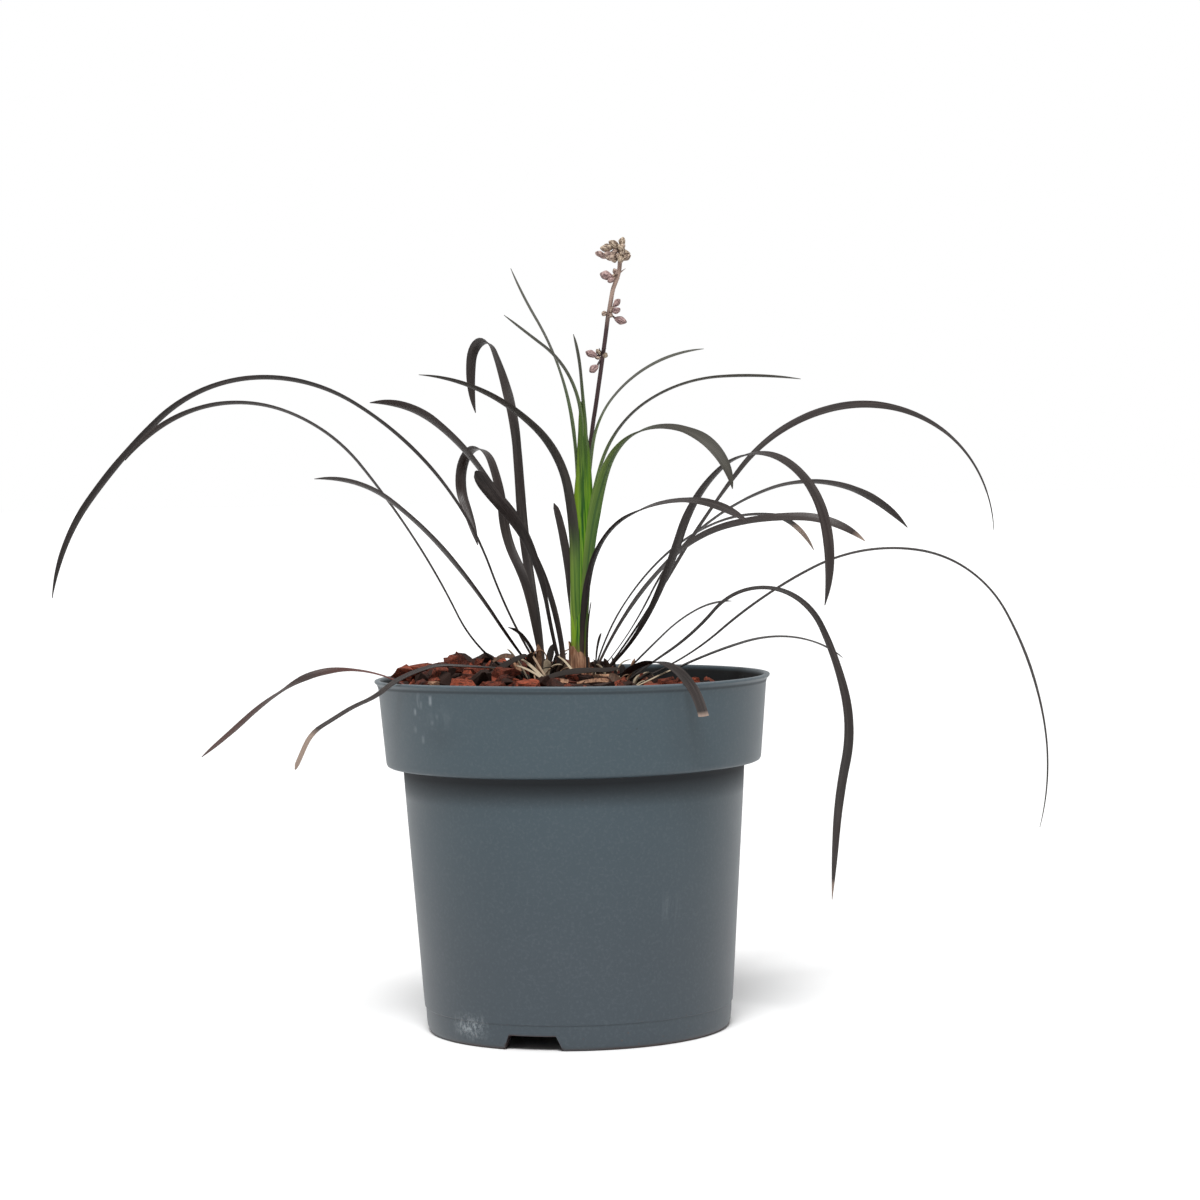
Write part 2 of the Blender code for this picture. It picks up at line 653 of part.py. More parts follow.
def make_tuft(name, crown, leaves, group):
    """A crown of old leaf bases with its leaves fused into it."""
    form = bmesh.new()
    bmesh.ops.create_uvsphere(form, u_segments=CROWN_SIDES, v_segments=CROWN_BANDS, radius=1.0)
    bmesh.ops.scale(form, vec=(crown[2], crown[3], CROWN_HALF_HEIGHT), verts=form.verts)
    bmesh.ops.translate(form, vec=(crown[0], crown[1], CROWN_MIDDLE), verts=form.verts)
    tuft = add_object(name, mesh_from(name, form), group, material("leaf"))
    made = [make_leaf("%s_leaf_%d" % (name, number), leaf, group, crown_root(leaf, crown))
            for number, leaf in enumerate(leaves, start=1)]
    join_all(tuft, made)
    shade(tuft)
    return tuft


def column_ring(height, x, half_x, half_y):
    ring = []
    for side in range(COLUMN_SIDES):
        angle = math.tau * side / COLUMN_SIDES
        ring.append((x + half_x * math.cos(angle), half_y * math.sin(angle), height))
    return ring


def make_middle_shoot(group):
    """The young shoot: folded green leaf bases in a column that opens into leaves."""
    form = bmesh.new()
    loft(form, [column_ring(*station) for station in COLUMN])
    shoot = add_object("middle_shoot", mesh_from("middle_shoot", form), group,
                       material("green_leaf"))
    heights = [station[0] for station in COLUMN]
    made = []
    for number, leaf in enumerate(MIDDLE_LEAVES, start=1):
        foot = Vector(leaf[0])
        start = foot.z - ROOT_BELOW
        level = max(index for index, height in enumerate(heights) if height < start)
        root = Vector((COLUMN[level + 1][1], 0.0, start)).lerp(foot, ROOT_OUTWARD)
        root.z = start
        made.append(make_leaf("middle_leaf_%d" % number, leaf, group, root))
    join_all(shoot, made)
    shade(shoot)
    return shoot


def make_sheath(group):
    """The papery old sheath wrapped round the front of the green column."""
    start = math.radians(-90.0 - SHEATH_TURN / 2.0)
    rings = []
    for step in range(SHEATH_SIDES + 1):
        angle = start + math.radians(SHEATH_TURN) * step / SHEATH_SIDES
        outward = Vector((math.cos(angle), math.sin(angle), 0.0))
        ragged = SHEATH_TEAR * math.sin(SHEATH_TEARS * angle) - SHEATH_SLANT * math.cos(angle)
        centre = Vector((COLUMN[1][1], 0.0, 0.0))
        inner = centre + outward * SHEATH_RADIUS
        outer = centre + outward * (SHEATH_RADIUS + SHEATH_WALL)
        bottom = Vector((0.0, 0.0, SHEATH_BOTTOM))
        top = Vector((0.0, 0.0, SHEATH_TOP + ragged))
        rings.append((inner + bottom, outer + bottom, outer + top, inner + top))
    form = bmesh.new()
    loft(form, rings)
    sheath = add_object("papery_sheath", mesh_from("papery_sheath", form), group,
                        material("sheath"))
    shade(sheath)
    return sheath


def make_loose_leaf(group):
    """A fallen leaf lying on the bark and hanging over the rim."""
    leaf = make_leaf("loose_leaf", LOOSE_LEAF, group)
    leaf.data.materials.append(material("leaf"))
    shade(leaf)
    return leaf


def make_dead_leaf(group):
    """A short dead leaf lying in front of the shoots, arched over the bark."""
    length, width = DEAD_LEAF[2:]
    turn = math.radians(DEAD_LEAF[1])
    rings = []
    for step in range(DEAD_LEAF_STEPS + 1):
        share = step / DEAD_LEAF_STEPS
        x, y = dead_leaf_spot(share)
        arch = DEAD_LEAF_ARCH * math.sin(math.pi * share)
        height = bark_height(x, y) + DEAD_LEAF_LIFT + arch
        slope = math.atan(DEAD_LEAF_ARCH * math.pi / length * math.cos(math.pi * share))
        wide = width * (0.5 + 0.5 * math.sin(math.pi * (0.12 + 0.8 * share)))
        rings.append(leaf_section(Vector((x, y, height)), turn, slope, 0.0, wide,
                                  LEAF_THICKNESS))
    form = bmesh.new()
    loft(form, rings)
    leaf = add_object("dead_leaf", mesh_from("dead_leaf", form), group, material("dead_leaf"))
    shade(leaf)
    return leaf


# Flower spike

def stem_point(height):
    """The stem's middle at a height."""
    for lower, upper in zip(STEM, STEM[1:]):
        if height <= upper[2]:
            share = (height - lower[2]) / (upper[2] - lower[2])
            return Vector(lower).lerp(Vector(upper), share)
    return Vector(STEM[-1])


def make_bud(name, centre, direction, group):
    form = bmesh.new()
    bmesh.ops.create_uvsphere(form, u_segments=BUD_SEGMENTS, v_segments=BUD_RINGS, radius=1.0)
    bmesh.ops.scale(form, vec=(BUD_RADIUS, BUD_RADIUS, BUD_LENGTH / 2.0), verts=form.verts)
    turn = direction.to_track_quat("Z", "Y").to_matrix()
    bmesh.ops.rotate(form, matrix=turn, verts=form.verts)
    bmesh.ops.translate(form, vec=centre, verts=form.verts)
    return add_object(name, mesh_from(name, form), group)


def make_stalk(name, start, end, group):
    """The short stalk that carries one bud."""
    form = bmesh.new()
    direction = (end - start).normalized()
    sideways = direction.orthogonal().normalized()
    other = direction.cross(sideways)
    rings = []
    for centre in (start, end):
        ring = [centre + (sideways * math.cos(angle) + other * math.sin(angle)) * STALK_RADIUS
                for angle in (0.0, math.tau / 3, math.tau * 2 / 3)]
        rings.append(ring)
    loft(form, rings)
    return add_object(name, mesh_from(name, form), group)


def make_spike(group):
    """The flower stem with its bunches of buds."""
    curve = bpy.data.curves.new("flower_stem", "CURVE")
    curve.dimensions = "3D"
    curve.bevel_depth = STEM_RADIUS * MM
    curve.bevel_resolution = 1
    curve.use_fill_caps = True
    spline = curve.splines.new("POLY")
    spline.points.add(len(STEM) - 1)
    for number, (point, place) in enumerate(zip(spline.points, STEM)):
        point.co = (place[0] * MM, place[1] * MM, place[2] * MM, 1.0)
        point.radius = 1.0 - (1.0 - STEM_TOP) * number / (len(STEM) - 1)
    drawn = bpy.data.objects.new("flower_stem", curve)
    group.objects.link(drawn)
    depsgraph = bpy.context.evaluated_depsgraph_get()
    mesh = bpy.data.meshes.new_from_object(drawn.evaluated_get(depsgraph))
    form = bmesh.new()
    form.from_mesh(mesh)
    bmesh.ops.remove_doubles(form, verts=form.verts, dist=0.00001)
    bmesh.ops.recalc_face_normals(form, faces=form.faces)
    form.to_mesh(mesh)
    form.free()
    spike = add_object("flower_spike", mesh, group, material("spike"))
    spike.matrix_world = drawn.matrix_world
    bpy.data.objects.remove(drawn, do_unlink=True)
    pieces = []
    for height, buds in BUNCHES:
        start = stem_point(height)
        for number, (heading, rise, reach) in enumerate(buds, start=1):
            turn = math.radians(heading)
            climb = math.radians(rise)
            direction = forward(turn, climb)
            centre = start + direction * reach
            label = "bud_%d_%d" % (height, number)
            pieces.append(make_bud(label, centre, direction, group))
            pieces.append(make_stalk(label + "_stalk", start, centre, group))
    join_all(spike, pieces)
    shade(spike)
    return spike


def main():
    clear_scene()
    parts = collection(NAME)
    cutters = collection("cutters")
    make_pot(parts, cutters)
    make_soil(parts, cutters)
    make_bark(parts, cutters)
    make_tuft("left_tuft", LEFT_CROWN, LEFT_LEAVES, parts)
    make_tuft("right_tuft", RIGHT_CROWN, RIGHT_LEAVES, parts)
    make_middle_shoot(parts)
    make_sheath(parts)
    make_spike(parts)
    make_loose_leaf(parts)
    make_dead_leaf(parts)


main()
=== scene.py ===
"""Black mondo grass in its pot: leaves, shoots, flower spike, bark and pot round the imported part.

The pot's axis is Z and its foot stands on z = 0. Sizes are in millimetres and become metres
when a mesh is made. Angles are in degrees.
"""

import math
import random
from collections import namedtuple
from functools import reduce

import bmesh
import bpy
from mathutils import Matrix, Vector, noise


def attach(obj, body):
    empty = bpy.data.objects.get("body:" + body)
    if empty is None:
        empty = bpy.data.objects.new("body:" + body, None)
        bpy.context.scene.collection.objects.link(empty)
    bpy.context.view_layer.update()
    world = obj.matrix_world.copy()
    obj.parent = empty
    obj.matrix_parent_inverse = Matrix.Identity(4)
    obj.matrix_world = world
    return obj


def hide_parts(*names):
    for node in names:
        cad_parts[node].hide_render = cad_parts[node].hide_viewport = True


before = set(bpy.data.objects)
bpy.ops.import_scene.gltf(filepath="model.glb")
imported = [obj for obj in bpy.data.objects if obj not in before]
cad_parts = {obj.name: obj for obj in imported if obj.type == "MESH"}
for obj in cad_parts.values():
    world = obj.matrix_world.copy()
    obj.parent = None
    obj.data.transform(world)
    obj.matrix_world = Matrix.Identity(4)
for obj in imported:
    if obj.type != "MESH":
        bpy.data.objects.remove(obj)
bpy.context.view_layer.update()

MM = 0.001
SHARP_ANGLE = 50.0             # edges sharper than this stay sharp, unless a piece says otherwise

# Camera, from the photograph's perspective
CAMERA_PLACE = (10.42, -1134.8, 193.3)
CAMERA_PITCH = 2.126           # looks down by this much
CAMERA_ROLL = 1.175
LENS = 96.19
SENSOR = 36.0

# Light and floor
WORLD_FRONT = 0.16             # the studio is darker behind the camera than behind the plant
WORLD_BACK = 0.8
SUN_STRENGTH = 3.3
SUN_FROM = (-0.04, -0.72, 1.0)
SUN_SPREAD = 24.0
FLOOR_REACH = 30000.0

# Pot
POT_SIDES = 240
RIM_HEIGHT = 124.5
FOOT_RADIUS = 53.2
FLOOR_UNDERSIDE = 6.6
FLOOR_TOP = 8.0
NOTCHES = 3
FIRST_NOTCH = -107.0
NOTCH_BOTTOM = 22.0
NOTCH_TOP = 17.0
NOTCH_HEIGHT = 5.2
NOTCH_REACH = 8.0
DRAIN_HOLES = 6
DRAIN_HOLE_RADIUS = 4.0
DRAIN_HOLE_CIRCLE = 34.0
DRAIN_HOLE_SIDES = 24
CUT_PAST = 1.0                 # the notches' cutters reach this far past the foot
HOLE_CUT_PAST = 2.0            # and the holes' this far past the floor
POT_SHARP_ANGLE = 35.0
WARP_ANGLE = -118.0            # the rim is a little higher on the front left
WARP_HEIGHT = 0.9
WARP_SPREAD = 42.0
WARP_LEVELS = (96.0, 124.0)
# Short pale scratches on the collar: across, height, half length and strength
SCRATCHES = ((-52.3, 119.8, 2.4, 0.6), (-51.4, 118.2, 1.2, 0.35), (-47.9, 120.0, 1.5, 0.6),
             (-53.4, 115.8, 1.0, 0.45), (-52.2, 113.8, 0.6, 0.25), (-53.6, 109.6, 1.0, 0.25),
             (-50.9, 106.4, 1.2, 0.3), (-45.6, 114.6, 0.6, 0.2), (-47.4, 112.4, 0.5, 0.2))
# Radius and height from the rim's inner edge down the outside to the middle of the foot
POT_OUTSIDE = (
    (67.9, 123.9), (68.1, 124.35), (68.6, 124.5), (69.4, 124.5), (69.85, 124.35), (70.0, 124.0),
    (69.95, 123.65), (69.6, 123.3), (69.2, 122.9), (68.9, 122.3), (68.72, 121.7), (68.62, 121.0),
    (68.1, 115.0), (67.3, 105.6), (66.45, 96.0), (66.3, 94.9), (65.95, 94.3), (65.3, 94.0),
    (61.2, 93.4), (60.55, 93.1), (60.4, 92.4), (59.9, 84.0), (58.4, 62.0), (56.6, 36.0),
    (55.1, 14.0), (54.75, 9.6), (54.7, 9.1), (54.35, 8.7), (54.3, 8.2), (54.1, 4.5), (53.8, 2.2),
    (53.3, 0.7), (52.7, 0.1), (51.9, 0.0), (50.9, 0.0), (50.5, 0.4), (50.3, 6.2), (49.9, 6.6),
    (10.2, 6.6), (9.6, 6.2), (9.2, 0.5), (8.8, 0.0), (0.05, 0.0),
)
INNER_FROM = 35                # the rows from here on are the underside and the inside
POT_INSIDE = (
    (0.05, 8.0), (53.0, 8.0), (53.3, 8.6), (59.0, 93.9), (64.6, 95.2), (65.0, 95.9),
    (67.35, 121.0), (67.5, 122.8),
)

# Soil and bark
SOIL_RADIUS = 65.6
SOIL_RINGS = 84
SOIL_SIDES = 220
SOIL_MIDDLE = 121.0
SOIL_BOTTOM = 108.0
SOIL_EDGE_FROM = 50.0
SOIL_EDGE_DROP = 1.6
SOIL_DROP_RIGHT = 5.6
DROP_START = 2.0
DROP_END = 36.0
LEFT_HEAP = 5.2
HEAP_CENTRE = (-38.0, 2.0)
HEAP_SPREAD = 27.0
LUMP_PITCH = 0.16              # lumps and crumbs for each millimetre of the soil
CRUMB_PITCH = 0.55
LUMP_HEIGHT = 0.9
CHIP_COUNT = 600
CHIP_REACH = 61.5
CHIP_LENGTH = (5.0, 15.0)
CHIP_BREADTH = (0.5, 0.85)     # as shares of the length
CHIP_HEIGHT = (0.24, 0.5)
CHIP_CORNERS = (11, 17)
CHIP_SHARP_ANGLE = 28.0
CHIPS_LEFT_OUT = 0.6           # the soil shows where it drops on the right
SPARSE_DEPTHS = (-60.0, -20.0)
PILE_CELL = 6.0
PILE_MOST = 3.2
CHIP_LEANS = (27.0, 22.0)
CHIP_RESTS = 0.55              # half heights above what it lies on
CHIP_SPACING = 0.7             # half lengths between a chip and a listed one
SHOOT_CLEARANCE = 0.6
LEAF_CLEARANCE = 1.2
# Listed chips: middle, sizes, turn, tilt and tint
SET_CHIPS = (
    ((-60.0, -11.0, 127.0), (9.0, 7.0, 5.6), 20, 16, 0.85),
    ((-52.6, -8.0, 127.7), (8.4, 7.0, 5.6), -30, 8, 0.8),
    ((-46.8, -9.0, 127.6), (8.6, 7.0, 6.0), -15, -14, 0.6),
    ((-41.6, -5.0, 129.4), (8.2, 7.2, 6.8), 10, 12, 0.7),
    ((-36.4, -5.0, 128.4), (6.2, 5.4, 5.2), 50, 30, 0.5),
    ((-32.4, -6.0, 128.8), (4.4, 4.0, 7.4), 30, 38, 0.62),
    ((-37.0, -42.0, 124.0), (13.0, 8.4, 5.8), 5, -16, 0.88),
    ((-26.6, -42.0, 123.6), (9.4, 6.6, 5.0), 40, 18, 0.6),
    ((-14.6, -44.0, 123.4), (10.4, 7.4, 5.6), -10, 12, 0.92),
    ((-5.0, -47.0, 122.2), (7.2, 5.6, 4.2), 30, -10, 0.66),
    ((-47.0, -38.0, 124.6), (5.2, 4.0, 3.0), 60, 8, 0.98),
    ((28.6, -41.0, 121.6), (10.6, 6.2, 5.0), -18, 12, 0.8),
    ((37.0, -38.0, 119.8), (7.4, 5.4, 4.4), 25, -12, 0.7),
)
CHIP_ROUGH = 0.22
SET_CHIP_CORNERS = 15
CRUMB_CORNERS = 8
CHIP_SEED = 5
CRUMB_COUNT = 900
CRUMB_SIZE = (0.5, 1.7)

# Shoots
CROWN_MIDDLE = 119.5
LEFT_CROWN = (-12.0, -3.5, 8.0, 7.0)
RIGHT_CROWN = (15.2, 4.5, 6.6, 6.6)
SHOOT_FOOT = (2.4, 0.0, 3.6, 3.4)
SINK = 0.55                    # a root starts at this share of the way out to its leaf's foot
# Old leaf stubs and fibres round a crown
STUB_LEAN = (52.0, 86.0)
STUB_LENGTH = (6.0, 17.0)
STUB_WIDTH = (1.4, 3.4)
STUB_THICKNESS = 0.4
STUB_CUPS = (150.0, 110.0)
STUB_TINTS = (0.0, 0.3, 0.85, 0.95, 0.95, 1.0, 1.0, 1.0)
FIBRE_LENGTH = (6.0, 18.0)
FIBRE_WIDTH = 0.5
FIBRE_THICKNESS = 0.35
FIBRE_CUPS = (60.0, 60.0)
FIBRE_TINTS = (0.0, 0.15, 0.5, 0.9)
# The middle shoot's column: height, middle x and half widths
COLUMN = (
    (112.0, 2.4, 2.6, 2.6),
    (121.0, 2.5, 3.2, 3.1),
    (134.0, 2.7, 3.0, 2.8),
    (150.0, 3.0, 3.2, 2.4),
    (168.0, 4.2, 3.7, 2.1),
    (186.0, 5.3, 3.5, 1.7),
    (201.0, 5.7, 2.5, 1.3),
    (213.0, 5.5, 1.5, 0.9),
    (221.5, 4.9, 0.35, 0.4),
)
COLUMN_SIDES = 40
COLUMN_STEPS = 70
# Grooves between its leaf bases: angle, and how far that turns with each millimetre up
SEAMS = ((-118.0, 0.2), (-62.0, -0.15), (88.0, 0.0))
SEAM_DEPTH = 0.13               # as a share of the column's radius
SEAM_SPREAD = 7.0
SHEATH_START = -215.0
SHEATH_SWEEP = 250.0
SHEATH_BOTTOM = 118.5
SHEATH_TOP = 133.0
SHEATH_THICKNESS = 0.3
SHEATH_TURNS = 36
SHEATH_LEVELS = 14

# Leaves: foot (x, y, z), heading and how far it swings round on the way, length, width,
# then at even stations from foot to tip how steeply it climbs, and how far its face is rolled
Leaf = namedtuple("Leaf", "foot heading swing length width climbs rolls")
LEFT_LEAVES = (
    ((-11.7, -3, 127.7), 178, -16, 273, 4.6, (59, 71, 51, 32, -3, -41, -51, -80),
     (40, 14, 20, 18, 11, 16, 15)),
    ((-18.9, -5, 124.6), -179, 14, 189, 4.2, (29, 65, 58, 52, 22, -16, -52),
     (30, 10, 4, 4, 7, 20, 50)),
    ((-11.7, -6, 124.3), -139, -22, 115, 4.4, (46, 53, 48, 37, -3), (-5, -14, 2, 5, 30)),
    ((-2.9, -5, 129.7), -172, 18, 124, 4.6, (85, 73, 59, 55, 37, -5), (60, 20, 9, 10, 22, 50)),
    ((-11.0, 0, 132.2), 107, 22, 155, 4.2, (77, 63, 72, 83, 82, 64, 55, -80, -112),
     (0, 0, 5, 6, 14, -2, 28, 34, 30)),
    ((-10.9, -3, 130.5), 140, -24, 131, 4.2, (78, 77, 54, 83, 59, -38, -127, -119),
     (0, -15, -8, 2, 18, 4, 10)),
    ((-5.1, -6, 132.3), -150, 20, 77, 5.2, (76, 79, 64, 41, 45), (30, 2, 12, 42, 50)),
    ((-10.9, -6, 127.5), -148, -15, 20, 3.8, (60, 64, 50, 19), (0, -8, -2, 10)),
    ((-15.3, -7, 123.8), -141, -12, 106, 3.1,
     (30, 17, 5, 5, 5, -12, -20, -34, -18, -27, -27, -63, -63),
     (-10, -11, -13, -13, -9, -7)),
)
RIGHT_LEAVES = (
    ((13.4, 2, 127.3), -28, -20, 170, 4.6, (41, 60, 68, 36, -26, -75, -108),
     (-36, -20, -12, -10, 2, 16, 8, 20, 14)),
    ((13.0, 6, 126.9), 7, 14, 215, 4.6, (52, 58, 50, 10, -35, -88), (15, 6, -2, 22, 37, 26, 26)),
    ((11.6, 6, 127.6), 43, -18, 168, 4.4, (39, 55, 32, 16, -13, -46),
     (-30, -40, -34, -25, -18, -22, -55)),
    ((9.4, 4, 127.9), -23, 18, 121, 4.6, (63, 53, 42, 12, -2, -41), (60, 36, 26, 32, 30, 40, 60)),
    ((9.0, 8, 128.4), 56, -16, 147, 3.8, (58, 39, 27, 14, -4, -56), (-25, -42, -35, -22, -12, -13)),
    ((17.0, 1, 120.5), -35, 18, 191, 4.8, (32, 30, 45, -6, -64, -77, -103, -95, -93),
     (36, 32, 30, 8, 5, 18, 28, 22, 12)),
    ((18.7, 5, 120.8), 17, -14, 246, 4.4, (15, 38, 25, -10, -62, -80, -105),
     (14, 0, -4, 0, 6, 13, 20, 13, 8)),
    ((15.6, 8, 123.7), 73, -22, 100, 3.8, (3, 17, 21, 14, -2), (-30, -40, -38, -25, -10)),
    ((22.0, 6, 120.3), 22, 16, 94, 3.6, (17, 19, 12, -9, -33), (0, -6, 2, 15)),
    ((17.0, -1, 122.0), -72, 8, 80, 3.7, (31, 13, 10, -1, -13, -32, -64),
     (-30, -20, -10, 10, 25, 10)),
)
MIDDLE_LEAVES = (
    ((3.1, 1, 193.8), 148, 25, 80, 2.5, (90, 82, 71, 60, 69), (0, -7, 2, -5, -10)),
    ((5.0, 0, 193.8), -152, -25, 69, 2.7, (87, 93, 67, 38, 40), (10, 10, 8, 10, 15)),
    ((6.5, 0, 200.5), 190, 20, 45, 3.0, (91, 86, 86, 75), (10, 8, -6, -8)),
    ((2.4, -2, 137.3), -162, 24, 132, 4.2, (86, 91, 80, 40, 20, 3), (60, 50, 32, 22, 10, 4, 8)),
    ((0.9, 2.8, 144.4), -150, -20, 42, 3.4, (86, 84, 80, 73), (50, 39, 45, 30)),
    ((6.9, 1, 186.7), 39, -28, 78, 2.5, (85, 79, 47, 26, 5), (0, -4, -8, 2, 14, 20)),
    ((6.0, 0, 172.5), -28, 20, 112, 3.0, (82, 70, 31, 2, -8), (0, -3, 0, -6, -14, -16)),
    ((5.1, -2, 151.4), -53, 22, 118, 4.5, (82, 77, 63, 12, -25, -83),
     (-35, -40, -40, -10, 5, 20, 22, 55, 45)),
    ((3.8, -3, 136.9), -56, 26, 106, 4.4, (87, 66, 23, 0, -34),
     (-30, -20, 15, 17, 6, 20, 18, 36, 46)),
)
GREEN_REACH = (50, 44, 34, 44, 0, 42, 46, 80, 0)      # how far each middle leaf stays green
ROOT_RUNS = (34, 34, 34, 17, 12, 34, 34, 30, 12)      # and how far down its root runs
OLIVE = (0.62, 0.62, 0.6, 0.12, 0.0, 0.6, 0.35, 0.28, 0.0)    # how dull and grey it is
LOOSE_LEAF = ((-57.9, -28, 124.2), -177, 14, 80, 4.4, (30, 3, -29, -41, -35),
              (-14, -8, -12, -34, -30, -1, -13, -15, -12, -10))
DEAD_LEAF = ((-11.6, -29.0, 124.6), 0, -4, 29, 2.9, (17, 14, 4, -2, 16), (50, 34, 44, 26, 40))
DEAD_THICKNESS = 0.45
DEAD_CUPS = (90.0, 70.0)
DEAD_TINT = 0.95
SCRAP_THICKNESS = 0.4
SCRAP_CUPS = (80.0, 60.0)
SCRAP_BLUNT = 0.8
# Curled scraps and straws: leaves, each with its tint
SCRAPS = (
    ((-27.4, -12.0, 130.6), 0, -20, 10, 2.4, (40, 20, -20, -70), (30, 46, 20), 0.75),
    ((-26.0, -14.0, 128.0), 4, -20, 12, 2.6, (30, 26, 12), (60, 50, 40), 1.0),
    ((2.0, -39.0, 124.2), 4, 20, 12, 1.9, (9, 4, -12), (30, 52), 0.5),
    ((13.0, -37.0, 126.4), -24, -40, 8, 3.0, (-6, -46, -64), (56, 70), 0.8),
    ((21.6, -40.0, 122.6), 16, 4, 15, 0.9, (20, 24, 18), (0, 20), 0.0),
    ((-4.6, -11.0, 132.0), -56, -10, 11, 0.9, (-16, -26, -30), (0, 20), 0.0),
    ((-8.6, -10.0, 126.0), 170, 30, 15, 0.5, (84, 96, 60, -40, -130), (0, 40), 0.5),
    ((-17.6, -12.0, 131.4), -22, -8, 12, 1.2, (-30, -40, -44), (40, 50), 0.0),
    ((-19.4, -14.0, 129.4), -18, -10, 12, 0.9, (-16, -26, -34), (40, 50), 0.0),
    ((-14.4, -12.0, 134.0), -30, -8, 11, 0.8, (-56, -54, -50), (40, 50), 0.1),
    ((6.0, -28.0, 125.4), 10, 24, 10, 1.9, (10, -4, 14), (40, 30), 0.4),
    ((-1.0, -35.0, 124.6), 172, 10, 9, 2.2, (6, -8, 10), (-50, -60), 0.25),
    ((7.6, -3.0, 124.0), -10, 12, 16, 1.6, (78, 84, 70), (0, 30), 1.0),
    ((-3.6, -4.0, 126.0), 150, 12, 20, 1.5, (88, 84, 92), (0, 30), 0.95),
    ((5.6, -3.0, 126.0), -40, 12, 25, 1.5, (92, 86, 78), (0, 30), 0.95),
)
# Each of the four tables that follow is for some leaves only, by tuft and number
# The share of a leaf's length from which it ends bluntly
BLUNT = {("left_tuft", 6): 0.9, ("left_tuft", 8): 0.975, ("middle_shoot", 4): 0.88,
         ("right_tuft", 9): 1.0}
# How narrow a leaf is at its foot, and at which share of its length it is widest
FEET = {("left_tuft", 1): (0.4, 0.5), ("left_tuft", 3): (0.45, 0.3),
        ("left_tuft", 4): (0.66, 0.32), ("left_tuft", 5): (0.66, 0.32), ("left_tuft", 6): (0.3, 0.8),
        ("right_tuft", 9): (0.66, 0.32), ("middle_shoot", 8): (0.36, 0.34)}
# The share of its length that has dried
DRY_TIPS = {("left_tuft", 8): 0.135, ("right_tuft", 4): 0.1, ("right_tuft", 9): 0.018,
            ("right_tuft", 3): 0.03, ("right_tuft", 5): 0.03}
# From black-purple (0) to brown (1); other leaves draw theirs
TINTS = {("right_tuft", 9): 0.0}
STATION = 1.8                  # millimetres between a leaf's sections
SECTION = (-1.0, -0.86, -0.6, -0.3, 0.0, 0.3, 0.6, 0.86, 1.0)
BLADE = 0.52                   # a blade's thickness along its middle
MARGIN = 0.2                   # and at its edges, as a share of that
SLIM_FOOT = (0.3, 0.32)        # as in FEET
BROAD_FOOT = (0.7, 0.3)
LOOSE_FOOT = (0.3, 0.5)
TAPER_FROM = 0.81              # shares of the length and of the width
TIP_WIDTH = 0.07
SQUARE = 1.001                 # a blade that's blunt from 1.0 keeps its width to the end
CUP = 42.0                     # how far a blade's faces fold up, edge to edge
ROOT_CUP = 120.0               # and at its root
MIDDLE_ROOT_CUP = 130.0
LOOSE_ROOT_CUP = 70.0
LOOSE_TINT = 0.9
ROLL_WOBBLE = 3.0              # small uneven turns and widths along a blade
WIDTH_WOBBLE = 0.04

# Flower spike: the stem's middle (x, y, z)
STEM = (
    (3.6, 8.0, 112.0),
    (3.9, 7.8, 137.0),
    (5.6, 6.6, 190.0),
    (9.4, 6.2, 215.0),
    (12.3, 6.4, 232.0),
    (15.2, 6.8, 251.0),
    (17.2, 7.0, 261.0),
    (19.4, 7.4, 267.0),
    (20.0, 7.6, 271.6),
    (20.1, 7.8, 276.6),
)
STEM_RADIUS = 0.7
STEM_STEPS = 110
STEM_SIDES = 12
HEAD_FROM = 270.0
HEAD_KNOBS = 9                 # small withered buds packed at each bunch of the head
SIDE_KNOBS = 2                 # and at each bunch below it, where they're packed closer
SIDE_KNOB_SHARE = 0.4
KNOB_SPREAD = ((-5.0, 1.8), (-2.4, 1.6), (-1.2, 2.0))
KNOB_LENGTH = (0.6, 1.4)       # past the knob's middle
KNOB_RADIUS = (0.7, 1.1)
KNOB_RIPENESS = (0.6, 1.0)
STALK_RADII = (0.42, 0.34, 0.34, 0.42)
STALK_SIDES = 7
BRACTS = 3
BRACT_LENGTH = (3.0, 5.5)
BRACT_RADIUS = 0.45
BRACT_SIDES = 6
BUD_BREADTH = (0.30, 0.36)     # its radius, as a share of its length
BUD_STEPS = 10
BUD_SIDES = 18
